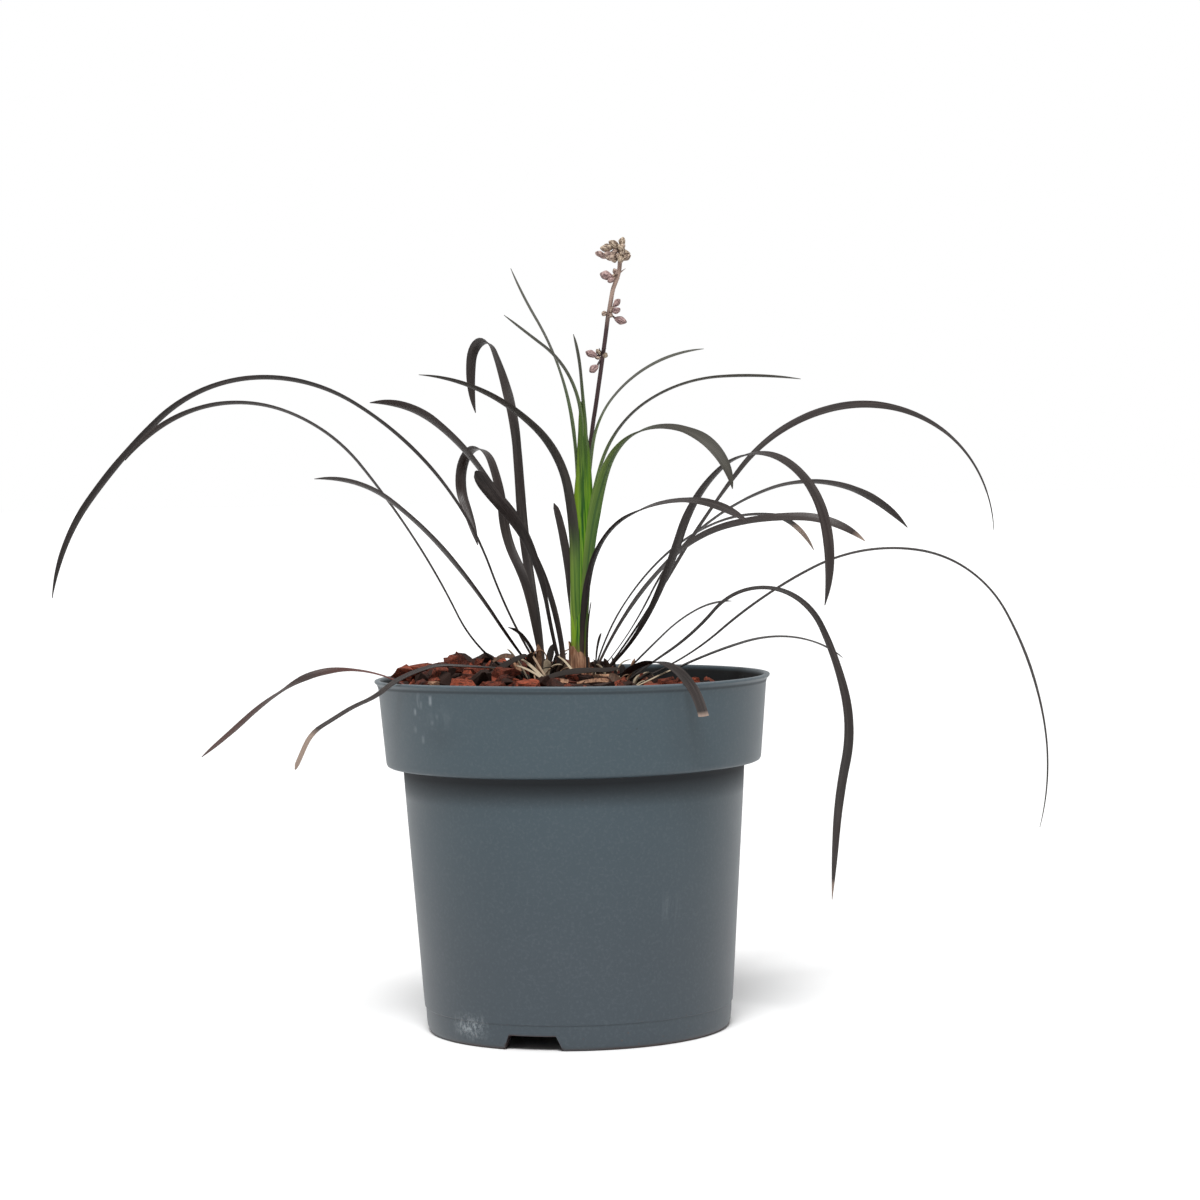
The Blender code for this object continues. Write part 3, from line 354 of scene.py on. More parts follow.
# Bunches: height on the stem, then each bud's middle from there (x, y, z), length and ripeness
BUNCHES = (
    (237.5, ((-4.1, -1.2, 0.9, 4.3, 0.2), (-3.3, -1.6, -4.4, 3.9, 0.1),
             (-1.5, -0.8, 1.6, 2.4, 0.85))),
    (252.4, ((3.0, -1.0, 3.9, 3.6, 0.4), (2.8, -1.9, 1.2, 3.4, 0.2), (4.3, -0.6, -2.3, 4.4, 0.1),
             (1.2, -1.2, 1.4, 2.6, 0.7))),
    (265.5, ((-4.0, -1.0, 0.6, 4.6, 0.3), (-0.6, -1.6, 1.8, 2.6, 0.6), (-2.4, -2.0, -1.2, 3.0, 0.4),
             (-0.8, 0.8, 2.0, 2.6, 0.7))),
    (272.2, ((2.2, -0.6, 0.2, 3.6, 0.8), (-3.4, -1.4, 0.4, 4.0, 0.7), (-5.6, 0.3, 0.8, 3.4, 0.5),
             (-7.2, -0.6, 1.6, 3.4, 0.5), (0.2, -2.6, -0.6, 3.6, 0.9), (-1.6, 2.4, 0.6, 3.4, 0.7))),
    (274.8, ((-5.0, -0.6, 1.0, 4.2, 0.8), (-2.2, -1.0, 2.2, 4.4, 0.9), (0.4, -1.6, 0.6, 4.0, 1.0),
             (1.8, 0.6, -0.8, 3.8, 0.9), (-4.2, -1.8, -1.2, 3.6, 0.6), (-0.6, 2.2, 0.8, 3.6, 0.8),
             (0.8, -0.4, 3.2, 3.4, 1.0))),
)

# Colours, as linear red, green and blue
COLOURS = {
    "leaf_black": (0.008, 0.006, 0.005), "leaf_brown": (0.021, 0.014, 0.012),
    "leaf_purple": (0.017, 0.009, 0.008), "leaf_fleck": (0.056, 0.045, 0.041),
    "leaf_vein": (0.056, 0.043, 0.039), "leaf_edge_highlight": (0.05, 0.038, 0.034),
    "leaf_worn": (0.040, 0.028, 0.025), "leaf_rusty": (0.085, 0.036, 0.028),
    "root_tan": (0.11, 0.068, 0.045), "root_red": (0.24, 0.055, 0.035),
    "fresh_light": (0.11, 0.21, 0.014), "fresh_deep": (0.045, 0.14, 0.008),
    "fresh_fold": (0.02, 0.10, 0.004), "fresh_stripe": (0.24, 0.36, 0.05),
    "olive_deep": (0.050, 0.055, 0.034), "olive_pale": (0.13, 0.135, 0.10),
    "dry_deep": (0.17, 0.115, 0.090), "dry_pale": (0.38, 0.29, 0.235),
    "shoot_left": (0.21, 0.33, 0.015), "shoot_groove": (0.012, 0.10, 0.002),
    "shoot_right": (0.12, 0.30, 0.015), "shoot_stripe": (0.24, 0.42, 0.03),
    "shoot_shade": (0.005, 0.045, 0.001), "shoot_top": (0.038, 0.072, 0.012),
    "shoot_side": (0.020, 0.014, 0.008), "shoot_brown": (0.10, 0.05, 0.028),
    "shoot_tan": (0.26, 0.15, 0.08), "sheath_brown": (0.12, 0.055, 0.032),
    "sheath_tan": (0.44, 0.25, 0.15), "sheath_rust": (0.20, 0.075, 0.035),
    "straw_deep": (0.26, 0.20, 0.13), "straw_pale": (0.62, 0.52, 0.38),
    "dead_black": (0.022, 0.016, 0.013), "bark_shadow": (0.020, 0.007, 0.005),
    "bark_deep": (0.13, 0.030, 0.018), "bark_red_shadow": (0.09, 0.020, 0.010),
    "bark_red": (0.42, 0.090, 0.042), "bark_worn": (0.46, 0.19, 0.11),
    "bark_black": (0.010, 0.006, 0.005), "bark_dark": (0.05, 0.022, 0.015),
    "bark_pit": (0.012, 0.007, 0.005), "wood_deep": (0.20, 0.10, 0.055),
    "wood_pale": (0.46, 0.26, 0.17), "soil_black": (0.006, 0.004, 0.003),
    "soil_brown": (0.045, 0.024, 0.016), "soil_red": (0.10, 0.035, 0.02),
    "soil_dust": (0.09, 0.035, 0.02), "soil_stain": (0.030, 0.012, 0.008),
    "slate_low": (0.033, 0.047, 0.059), "slate_low_haze": (0.042, 0.057, 0.070),
    "slate_high": (0.031, 0.053, 0.067), "slate_high_haze": (0.041, 0.065, 0.080),
    "slate_fleck": (0.085, 0.105, 0.12), "slate_shade": (0.004, 0.006, 0.009),
    "lip_painted_highlight": (0.12, 0.15, 0.17), "scuff": (0.42, 0.46, 0.48),
    "rubbed": (0.36, 0.40, 0.43), "dent_painted_shade": (0.02, 0.03, 0.038),
    "rubbed_haze": (0.20, 0.23, 0.25), "scratch_fan": (0.32, 0.36, 0.38),
    "scratch": (0.35, 0.40, 0.42), "speck": (0.02, 0.02, 0.02),
    "inside_painted_shade": (0.004, 0.004, 0.004), "grime_crumb": (0.05, 0.04, 0.033),
    "stem_low_deep": (0.018, 0.009, 0.010), "stem_low_pale": (0.060, 0.030, 0.032),
    "stem_high_deep": (0.17, 0.10, 0.085), "stem_high_pale": (0.46, 0.34, 0.27),
    "mauve_deep": (0.10, 0.052, 0.056), "mauve_pale": (0.47, 0.32, 0.30),
    "bud_straw_deep": (0.10, 0.062, 0.044), "bud_straw_pale": (0.56, 0.45, 0.33),
    "bud_spot": (0.07, 0.035, 0.03), "floor_low": (0.90, 0.90, 0.90),
    "floor_high": (0.92, 0.92, 0.92), "white": (1.0, 1.0, 1.0),
}


# Meshes

class Form:
    """Points in millimetres, faces, and named values for each point."""

    def __init__(self):
        self.points = []
        self.faces = []
        self.marks = {}

    def point(self, place, **marks):
        self.points.append(Vector(place))
        for name, value in marks.items():
            self.marks.setdefault(name, []).append(value)
        return len(self.points) - 1

    def skin(self, rows):
        """Quads between closed rows of points."""
        for lower, upper in zip(rows, rows[1:]):
            for side in range(len(lower)):
                after = (side + 1) % len(lower)
                self.faces.append((lower[side], lower[after], upper[after], upper[side]))

    def solid(self, rows):
        """A skin that is closed at both ends."""
        self.skin(rows)
        self.faces.append(tuple(reversed(rows[0])))
        self.faces.append(tuple(rows[-1]))

    def mesh(self, name):
        mesh = bpy.data.meshes.new(name)
        mesh.from_pydata([point * MM for point in self.points], [], self.faces)
        for mark, values in self.marks.items():
            if isinstance(values[0], (tuple, Vector)):
                layer = mesh.attributes.new(mark, "FLOAT_VECTOR", "POINT")
                layer.data.foreach_set("vector", [part for value in values for part in value])
            else:
                layer = mesh.attributes.new(mark, "FLOAT", "POINT")
                layer.data.foreach_set("value", values)
        mesh.validate()
        return mesh


def placed(name, data):
    """A new object in the scene, from its mesh, light or camera."""
    made = bpy.data.objects.new(name, data)
    bpy.context.scene.collection.objects.link(made)
    return made


def piece(name, mesh, colour, nodes=(), angle=SHARP_ANGLE):
    """A finished piece of the plant or pot that rides on the part."""
    made = placed(name, mesh)
    mesh.materials.clear()
    mesh.materials.append(colour)
    mesh.shade_smooth()
    if angle is not None:
        mesh.set_sharp_from_angle(angle=math.radians(angle))
    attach(made, "root")
    if nodes:
        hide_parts(*nodes)


def face_outwards(mesh):
    form = bmesh.new()
    form.from_mesh(mesh)
    bmesh.ops.recalc_face_normals(form, faces=form.faces)
    form.to_mesh(mesh)
    form.free()


def closed_piece(name, form, colour, nodes=(), angle=SHARP_ANGLE):
    """A piece made of closed solids, with all of their faces outwards."""
    mesh = form.mesh(name)
    face_outwards(mesh)
    piece(name, mesh, colour, nodes, angle)


def smooth_step(low, high, value):
    share = min(max((value - low) / (high - low), 0.0), 1.0)
    return share * share * (3.0 - 2.0 * share)


def along(values, share):
    """Read evenly spaced values at a share of the way from the first to the last."""
    place = min(max(share, 0.0), 1.0) * (len(values) - 1)
    first = min(int(place), len(values) - 2)
    return values[first] + (values[first + 1] - values[first]) * (place - first)


def forward(turn, climb):
    return Vector((math.cos(turn) * math.cos(climb), math.sin(turn) * math.cos(climb),
                   math.sin(climb)))


def turned(degrees, axis):
    return Matrix.Rotation(math.radians(degrees), 3, axis)


# Materials

class Value:
    """What one output of a node gives. Sums, products, ramps and mixes of it add more nodes."""

    def __init__(self, tree, socket):
        self.tree = tree
        self.socket = socket

    def node(self, kind, output, sockets, **settings):
        return add_node(self.tree, kind, output, sockets, **settings)

    def math(self, operation, other=0.0):
        return self.node("Math", 0, {0: self, 1: other}, operation=operation)

    def __mul__(self, other):
        return self.math("MULTIPLY", other)

    def __add__(self, other):
        return self.math("ADD", other)

    def most(self, other):
        return self.math("MAXIMUM", other)

    def size(self):
        return self.math("ABSOLUTE")

    def ramp(self, low, high):
        """Nought at low, one at high."""
        return self.node("MapRange", "Result", {"Value": self, "From Min": low, "From Max": high})

    def between(self, first, second):
        """A number that goes from first to second with this share."""
        return self.node("MapRange", "Result", {"Value": self, "To Min": first, "To Max": second})

    def mix(self, first, second):
        """A colour that goes from first to second with this share."""
        return self.node("Mix", 2, {0: self, 6: first, 7: second}, data_type="RGBA")

    def part(self, axis):
        return self.node("SeparateXYZ", "XYZ".index(axis), {0: self})

    def stretch(self, *scale):
        return self.node("Mapping", "Vector", {"Vector": self, "Scale": scale})

    def noise(self, scale, detail=4.0, roughness=0.55):
        return self.node("TexNoise", "Fac", {"Vector": self, "Scale": scale, "Detail": detail,
                                             "Roughness": roughness})

    def cells(self, scale):
        return self.node("TexVoronoi", "Distance", {"Vector": self, "Scale": scale})

    def bump(self, distance, strength):
        return self.node("Bump", "Normal", {"Strength": strength, "Distance": distance * MM,
                                            "Height": self})


def feed(tree, socket, value):
    """Give a socket a node's output, a colour by its name, or a number."""
    if isinstance(value, Value):
        tree.links.new(value.socket, socket)
    elif isinstance(value, str):
        socket.default_value = (*COLOURS[value], 1.0)
    else:
        socket.default_value = value


def add_node(tree, kind, output, sockets, **settings):
    made = tree.nodes.new("ShaderNode" + kind)
    for name, value in settings.items():
        setattr(made, name, value)
    for name, value in sockets.items():
        feed(tree, made.inputs[name], value)
    return Value(tree, made.outputs[output])


class Shader:
    """One material."""

    def __init__(self, name, roughness, specular):
        self.material = bpy.data.materials.new(name)
        self.material.use_nodes = True
        self.tree = self.material.node_tree
        self.fill({"Roughness": roughness, "Specular IOR Level": specular})

    def fill(self, sockets):
        for name, value in sockets.items():
            feed(self.tree, self.tree.nodes["Principled BSDF"].inputs[name], value)
        return self.material

    @property
    def place(self):
        return add_node(self.tree, "TexCoord", "Object", {})

    def mark(self, name, output="Fac"):
        return add_node(self.tree, "Attribute", output, {}, attribute_name=name)

    def finish(self, colour, roughness, normal):
        return self.fill({"Base Color": colour, "Roughness": roughness, "Normal": normal})


def blade_material(name, root_reach, root_colour, worn_most, worn_colour):
    """Purple-black leaf: fine parallel veins, soft gloss, paler dry roots and tips."""
    made = Shader(name, 0.4, 0.38)
    share, across, tint = (made.mark(name) for name in ("along", "across", "tint"))
    off_middle = across.size()
    veins = (across * 26.0).math("SINE")
    fine = made.mark("strap", "Vector").stretch(1.0, 0.045, 1.0).noise(900.0, 3.0)
    patches = made.place.noise(60.0, 3.0)
    dark = tint.mix("leaf_black", "leaf_brown")
    dark = patches.ramp(0.35, 0.75).mix(dark, "leaf_purple")
    dark = (fine.ramp(0.48, 0.66) * 0.6).mix(dark, "leaf_fleck")
    dark = (veins.ramp(0.4, 1.0) * 0.4).mix(dark, "leaf_vein")
    dark = (share.ramp(0.3, 0.9) * tint.between(0.0, worn_most)).mix(dark, worn_colour)
    # Painted highlight: the blade's margins are lightened
    dark = (off_middle.ramp(0.84, 1.0) * 0.3).mix(dark, "leaf_edge_highlight")
    fresh = across.ramp(-0.7, 0.7).mix("fresh_light", "fresh_deep")
    fresh = off_middle.ramp(0.25, 0.0).mix(fresh, "fresh_fold")
    fresh = (fine.ramp(0.45, 0.7) * 0.45).mix(fresh, "fresh_stripe")
    colour = made.mark("green").mix(dark, fresh)
    colour = made.mark("olive").mix(colour, fine.mix("olive_deep", "olive_pale"))
    colour = (share.ramp(root_reach, 0.0) * tint.between(0.0, 0.7)).mix(colour, root_colour)
    colour = made.mark("dry").mix(colour, fine.mix("dry_deep", "dry_pale"))
    # Roots and the darkest leaves are duller
    roughness = (patches.between(0.3, 0.46) + share.ramp(0.0, 0.4).between(0.25, 0.0)
                 + tint.ramp(0.0, 0.5).between(0.3, 0.0))
    return made.finish(colour, roughness, (veins * 0.5 + fine).bump(0.07, 0.7))


def column_material():
    """Bright green folded leaf bases, striped along, dark brown at the soil."""
    made = Shader("shoot_green", 0.36, 0.35)
    across = made.mark("across")
    level = made.place.part("Z") * (1.0 / MM)
    stripes = made.place.stretch(1.0, 1.0, 0.03).noise(1500.0, 2.0)
    green = across.ramp(-0.75, -0.2).mix("shoot_left", "shoot_groove")
    green = across.ramp(0.1, 0.7).mix(green, "shoot_right")
    green = (stripes.ramp(0.5, 0.58) * 0.55).mix(green, "shoot_stripe")
    green = (stripes.ramp(0.47, 0.38) * 0.7).mix(green, "shoot_shade")
    green = (level.ramp(178.0, 206.0) * 0.85).mix(green, "shoot_top")
    green = (across.ramp(0.45, 0.85) * level.ramp(160.0, 146.0) * 0.9).mix(green, "shoot_side")
    colour = level.ramp(138.0, 129.0).mix(green, stripes.mix("shoot_brown", "shoot_tan"))
    return made.finish(colour, stripes.between(0.3, 0.45), stripes.bump(0.12, 0.5))


def sheath_material():
    """Dry papery sheath with long fibres, cream to black by tint."""
    made = Shader("papery_sheath", 0.75, 0.25)
    tint = made.mark("tint")
    fibres = made.place.stretch(1.0, 1.0, 0.05).noise(1400.0, 4.0, 0.7)
    colour = fibres.ramp(0.38, 0.62).mix("sheath_brown", "sheath_tan")
    colour = (made.place.noise(220.0, 3.0).ramp(0.5, 0.7) * 0.6).mix(colour, "sheath_rust")
    colour = tint.ramp(0.02, 0.2).mix(fibres.mix("straw_deep", "straw_pale"), colour)
    colour = tint.ramp(0.4, 0.9).mix(colour, "dead_black")
    return made.finish(colour, fibres.between(0.6, 0.85), fibres.bump(0.15, 0.7))


def chip_material():
    """Red-brown bark with grain, worn pale edges and dark pits; pale wood by tint."""
    made = Shader("bark_chip", 0.85, 0.25)
    local = made.mark("grain", "Vector")
    tint = made.mark("tint")
    grain = local.stretch(0.25, 1.6, 2.2).noise(1.1, 6.0, 0.7)
    pits = local.noise(2.6, 5.0, 0.7)
    deep = grain.ramp(0.35, 0.68).mix("bark_shadow", "bark_deep")
    lively = grain.ramp(0.38, 0.62).mix("bark_red_shadow", "bark_red")
    red = tint.ramp(0.48, 0.92).mix(deep, lively)
    red = (grain.ramp(0.47, 0.42) * 0.6).mix(red, "bark_shadow")
    red = (pits.ramp(0.58, 0.72) * 0.6).mix(red, "bark_worn")
    colour = tint.ramp(0.44, 0.36).mix(red, grain.mix("bark_black", "bark_dark"))
    colour = tint.ramp(0.93, 0.97).mix(colour, grain.mix("wood_deep", "wood_pale"))
    colour = (pits.ramp(0.46, 0.34) * 0.8).mix(colour, "bark_pit")
    return made.finish(colour, pits.between(0.7, 0.95), (grain + pits * 0.6).bump(0.5, 0.8))


def soil_material():
    """Black-brown crumbly potting soil with reddish lumps."""
    made = Shader("potting_soil", 0.95, 0.15)
    crumbs = made.place.noise(700.0, 6.0, 0.7)
    lumps = made.place.cells(420.0)
    colour = crumbs.ramp(0.35, 0.7).mix("soil_black", "soil_brown")
    colour = (lumps.ramp(0.55, 0.8) * 0.5).mix(colour, "soil_red")
    return made.finish(colour, crumbs.between(0.85, 1.0), (crumbs + lumps).bump(0.6, 0.9))


def pot_material():
    """Slate-grey moulded plastic with scuffs, scratches, moulding haze and soil dust, and painted shade
    and a painted highlight.
    """
    made = Shader("slate_plastic", 0.42, 0.5)
    place = made.place
    x, y, z = (place.part(axis) for axis in "XYZ")
    level = made.mark("level")
    inner = made.mark("inner")
    haze = place.stretch(1.0, 1.0, 2.2).noise(26.0, 5.0, 0.6)
    fine = place.noise(900.0, 3.0, 0.6)
    streaks = place.stretch(1.0, 1.0, 0.12).noise(300.0, 4.0, 0.6)
    front = y.ramp(0.0, -10.0 * MM)

    def patch(centre, half, soft):
        """A soft-edged rectangle on the front, by its middle and half sizes."""
        share = front
        for socket, middle, reach in zip((x, z), centre, half):
            share *= (socket + -middle * MM).size().ramp((reach + soft) * MM, (reach - soft) * MM)
        return share

    # Painted shade under the collar and in the groove under the lip, then a painted highlight along the
    # top of the lip
    colour = level.ramp(30.0, 100.0).mix(haze.mix("slate_low", "slate_low_haze"),
                                         haze.mix("slate_high", "slate_high_haze"))
    colour = (fine.ramp(0.5, 0.68) * 0.22).mix(colour, "slate_fleck")
    under_collar = level.ramp(83.0, 91.5) * level.ramp(93.9, 93.4)
    groove = level.ramp(121.5, 122.0) * level.ramp(122.9, 122.4)
    shaded = under_collar.most(groove * 0.5)
    colour = (shaded * 0.95).mix(colour, "slate_shade")
    # Painted highlight: the top of the lip is lightened
    colour = (level.ramp(123.7, 124.2) * haze.between(0.3, 0.8)).mix(colour, "lip_painted_highlight")
    # Scuffs and scratches, then painted shade where the collar is dented
    scuff = place.stretch(1.0, 1.0, 0.7).noise(700.0, 6.0, 0.9).ramp(0.47, 0.58)
    scuff *= patch((-37.0, 6.9), (4.4, 3.0), 2.4)
    colour = (scuff * 0.55).mix(colour, "scuff")
    lines = [patch((across, height), (0.25, length), 0.55) * streaks.ramp(0.36, 0.56) * strength
             for across, height, length, strength in SCRATCHES]
    colour = reduce(Value.most, lines).mix(colour, "rubbed")
    # Painted shade: a darker strip and a darker spot stand in for dented places on the collar
    dent_shade_mask = patch((36.0, 110.0), (0.5, 12.0), 5.0).most(patch((-44.5, 107.5), (3.0, 3.0), 4.5))
    colour = (dent_shade_mask * 0.35).mix(colour, "dent_painted_shade")
    hazy = patch((-44.0, 114.5), (4.0, 1.5), 4.0) * streaks.ramp(0.45, 0.6)
    colour = (hazy * 0.22).mix(colour, "rubbed_haze")
    fan = patch((32.0, 47.0), (3.0, 4.5), 2.5) * streaks.ramp(0.5, 0.7)
    colour = (fan * 0.10).mix(colour, "scratch_fan")
    scratch = place.stretch(1.0, 1.0, 0.1).cells(60.0).ramp(0.035, 0.0) * haze.ramp(0.55, 0.7)
    colour = (scratch * 0.10).mix(colour, "scratch")
    # Soil dust and stains at the foot, dark specks, and painted near-black shade with soil crumbs over
    # the underside and inside
    dust = place.cells(330.0).ramp(0.12, 0.05) * z.ramp(14.0 * MM, 1.0 * MM) * haze.ramp(0.35, 0.6)
    colour = (dust * 0.8).mix(colour, "soil_dust")
    colour = (level.ramp(1.3, 0.5) * haze.ramp(0.3, 0.5) * 0.85).mix(colour, "soil_stain")
    specks = place.cells(95.0).ramp(0.045, 0.03) * fine.ramp(0.45, 0.55)
    colour = (specks * 0.55).mix(colour, "speck")
    # Painted shade: the underside and the inside go near-black, flecked with soil crumbs
    inside_shade_and_crumbs = place.cells(520.0).ramp(0.16, 0.06).mix("inside_painted_shade", "grime_crumb")
    colour = (inner * haze.between(0.8, 1.0)).mix(colour, inside_shade_and_crumbs)
    roughness = haze.between(0.36, 0.50) + scuff * 0.25 + inner.most(shaded) * 0.35
    return made.finish(colour, roughness, (haze * 2.0 + fine).bump(0.03, 0.5))


def stem_material():
    """Flower stem: purple-brown below, beige-pink towards the flowers."""
    made = Shader("flower_stem", 0.5, 0.4)
    level = made.place.part("Z") * (1.0 / MM)
    ridges = made.place.stretch(1.0, 1.0, 0.06).noise(1600.0, 3.0)
    colour = level.ramp(247.0, 259.0).mix(ridges.mix("stem_low_deep", "stem_low_pale"),
                                          ridges.mix("stem_high_deep", "stem_high_pale"))
    return made.finish(colour, ridges.between(0.4, 0.6), ridges.bump(0.1, 0.5))


def bud_material():
    """Dry lilac-brown buds, straw-coloured where they have withered."""
    made = Shader("flower_bud", 0.6, 0.35)
    local = made.mark("grain", "Vector")
    ribs = local.stretch(1.0, 1.0, 0.2).noise(2.2)
    patches = local.noise(0.9, 3.0)
    mauve = ribs.ramp(0.38, 0.6).mix("mauve_deep", "mauve_pale")
    straw = ribs.ramp(0.40, 0.62).mix("bud_straw_deep", "bud_straw_pale")
    colour = made.mark("tint").ramp(0.35, 0.85).mix(mauve, straw)
    colour = (patches.ramp(0.56, 0.7) * 0.6).mix(colour, "bud_spot")
    return made.finish(colour, patches.between(0.5, 0.75), ribs.bump(0.2, 0.7))


# Pot

def rim_warp(x, y, z):
    """How far the pliable rim stands higher here than a true one."""
    away = (math.degrees(math.atan2(y, x)) - WARP_ANGLE + 180.0) % 360.0 - 180.0
    return WARP_HEIGHT * math.exp(-(away / WARP_SPREAD) ** 2) * smooth_step(*WARP_LEVELS, z)


def ring(radius, sides):
    """Evenly spaced points round the axis."""
    angles = [math.tau * side / sides for side in range(sides)]
    return [(radius * math.cos(angle), radius * math.sin(angle)) for angle in angles]


def cut(mesh, cutter):
    """Cut one mesh out of another, at once."""
    target = placed("to_cut", mesh)
    tool = placed("cutter", cutter)
    modifier = target.modifiers.new("Cut", "BOOLEAN")
    modifier.operation = "DIFFERENCE"
    modifier.solver = "EXACT"
    modifier.object = tool
    depsgraph = bpy.context.evaluated_depsgraph_get()
    finished = bpy.data.meshes.new_from_object(target.evaluated_get(depsgraph))
    bpy.data.objects.remove(target, do_unlink=True)
    bpy.data.objects.remove(tool, do_unlink=True)
    return finished


def pot_cutters():
    form = Form()
    section = ((-NOTCH_BOTTOM / 2.0, -CUT_PAST), (NOTCH_BOTTOM / 2.0, -CUT_PAST),
               (NOTCH_TOP / 2.0, NOTCH_HEIGHT), (-NOTCH_TOP / 2.0, NOTCH_HEIGHT))
    for index in range(NOTCHES):
        turn = turned(FIRST_NOTCH + 360.0 / NOTCHES * index, "Z")
        form.solid([[form.point(turn @ Vector((radius, across, height)))
                     for across, height in section]
                    for radius in (FOOT_RADIUS - NOTCH_REACH, FOOT_RADIUS + NOTCH_REACH)])
    for index in range(DRAIN_HOLES):
        angle = math.tau * (index + 0.5) / DRAIN_HOLES
        centre = Vector((math.cos(angle), math.sin(angle), 0.0)) * DRAIN_HOLE_CIRCLE
        form.solid([[form.point(centre + Vector((x, y, height)))
                     for x, y in ring(DRAIN_HOLE_RADIUS, DRAIN_HOLE_SIDES)]
                    for height in (FLOOR_UNDERSIDE - HOLE_CUT_PAST, FLOOR_TOP + HOLE_CUT_PAST)])
    return form.mesh("pot_cutters")


def make_pot():
    form = Form()
    rows = []
    for number, (radius, height) in enumerate(POT_OUTSIDE + POT_INSIDE):
        rows.append([form.point((x, y, height + rim_warp(x, y, height)),
                                inner=float(number >= INNER_FROM), level=height)
                     for x, y in ring(radius, POT_SIDES)])
    form.skin(rows + rows[:1])
    mesh = form.mesh("pot_shell")
    face_outwards(mesh)
    cutters = pot_cutters()
    face_outwards(cutters)
    piece("pot_shell", cut(mesh, cutters), pot_material(), ("pot",), POT_SHARP_ANGLE)


# Soil and bark

def soil_height(x, y):
    drop = SOIL_DROP_RIGHT * smooth_step(DROP_START, DROP_END, x)
    far = ((x - HEAP_CENTRE[0]) ** 2 + (y - HEAP_CENTRE[1]) ** 2) / HEAP_SPREAD ** 2
    edge = SOIL_EDGE_DROP * smooth_step(SOIL_EDGE_FROM, SOIL_RADIUS, math.hypot(x, y))
    return SOIL_MIDDLE - drop + LEFT_HEAP * math.exp(-far) - edge


def crumbled(x, y):
    spot = Vector((x, y, 0.0))
    rough = noise.fractal(spot * LUMP_PITCH, 1.0, 2.0, 5) * LUMP_HEIGHT
    rough += abs(noise.noise(spot * CRUMB_PITCH)) * LUMP_HEIGHT
    return soil_height(x, y) + rough


def make_soil():
    form = Form()
    rows = [[form.point((x, y, SOIL_BOTTOM)) for x, y in ring(SOIL_RADIUS, SOIL_SIDES)]]
    for number in range(SOIL_RINGS + 1):
        reach = SOIL_RADIUS * (1.0 - number / SOIL_RINGS) + 0.1
        rows.append([form.point((x, y, crumbled(x, y))) for x, y in ring(reach, SOIL_SIDES)])
    form.solid(rows)
    piece("potting_soil", form.mesh("potting_soil"), soil_material(), ("root_ball",), None)


def chunk(form, dice, centre, half, turn, tint, corners):
    """One broken lump: the hull of a few corners on a rounded box, with roughened faces."""
    seed = Vector((dice.uniform(0, 90), dice.uniform(0, 90), dice.uniform(0, 90)))
    lump = bmesh.new()
    for _ in range(corners):
        lean = Vector((dice.gauss(0, 1), dice.gauss(0, 1), dice.gauss(0, 1))).normalized()
        squared = Vector([math.copysign(abs(value) ** 0.5, value) for value in lean])
        lump.verts.new(squared * dice.uniform(0.82, 1.08))
    hull = bmesh.ops.convex_hull(lump, input=lump.verts)
    spare = [item for item in hull["geom_interior"] + hull["geom_unused"]
             if isinstance(item, bmesh.types.BMVert)]
    bmesh.ops.delete(lump, geom=list(set(spare)), context="VERTS")
    if corners > CRUMB_CORNERS:
        bmesh.ops.subdivide_edges(lump, edges=lump.edges, cuts=1, use_grid_fill=True)
    start = len(form.points)
    for number, corner in enumerate(lump.verts):
        corner.index = number
        co = corner.co * (1.0 + CHIP_ROUGH * noise.noise(corner.co * 2.3 + seed))
        local = co * half
        form.point(centre + turn @ local, grain=local + seed, tint=tint)
    for face in lump.faces:
        form.faces.append(tuple(start + corner.index for corner in face.verts))
    lump.free()


def near_shoot(x, y, clearance):
    return any(math.hypot((x - middle_x) / (reach_x + clearance),
                          (y - middle_y) / (reach_y + clearance)) < 1.0
               for middle_x, middle_y, reach_x, reach_y in (LEFT_CROWN, RIGHT_CROWN, SHOOT_FOOT))


def on_disc(dice, radius):
    """A random place on a disc."""
    angle = dice.uniform(0.0, math.tau)
    reach = radius * math.sqrt(dice.uniform(0.0, 1.0))
    return reach * math.cos(angle), reach * math.sin(angle)


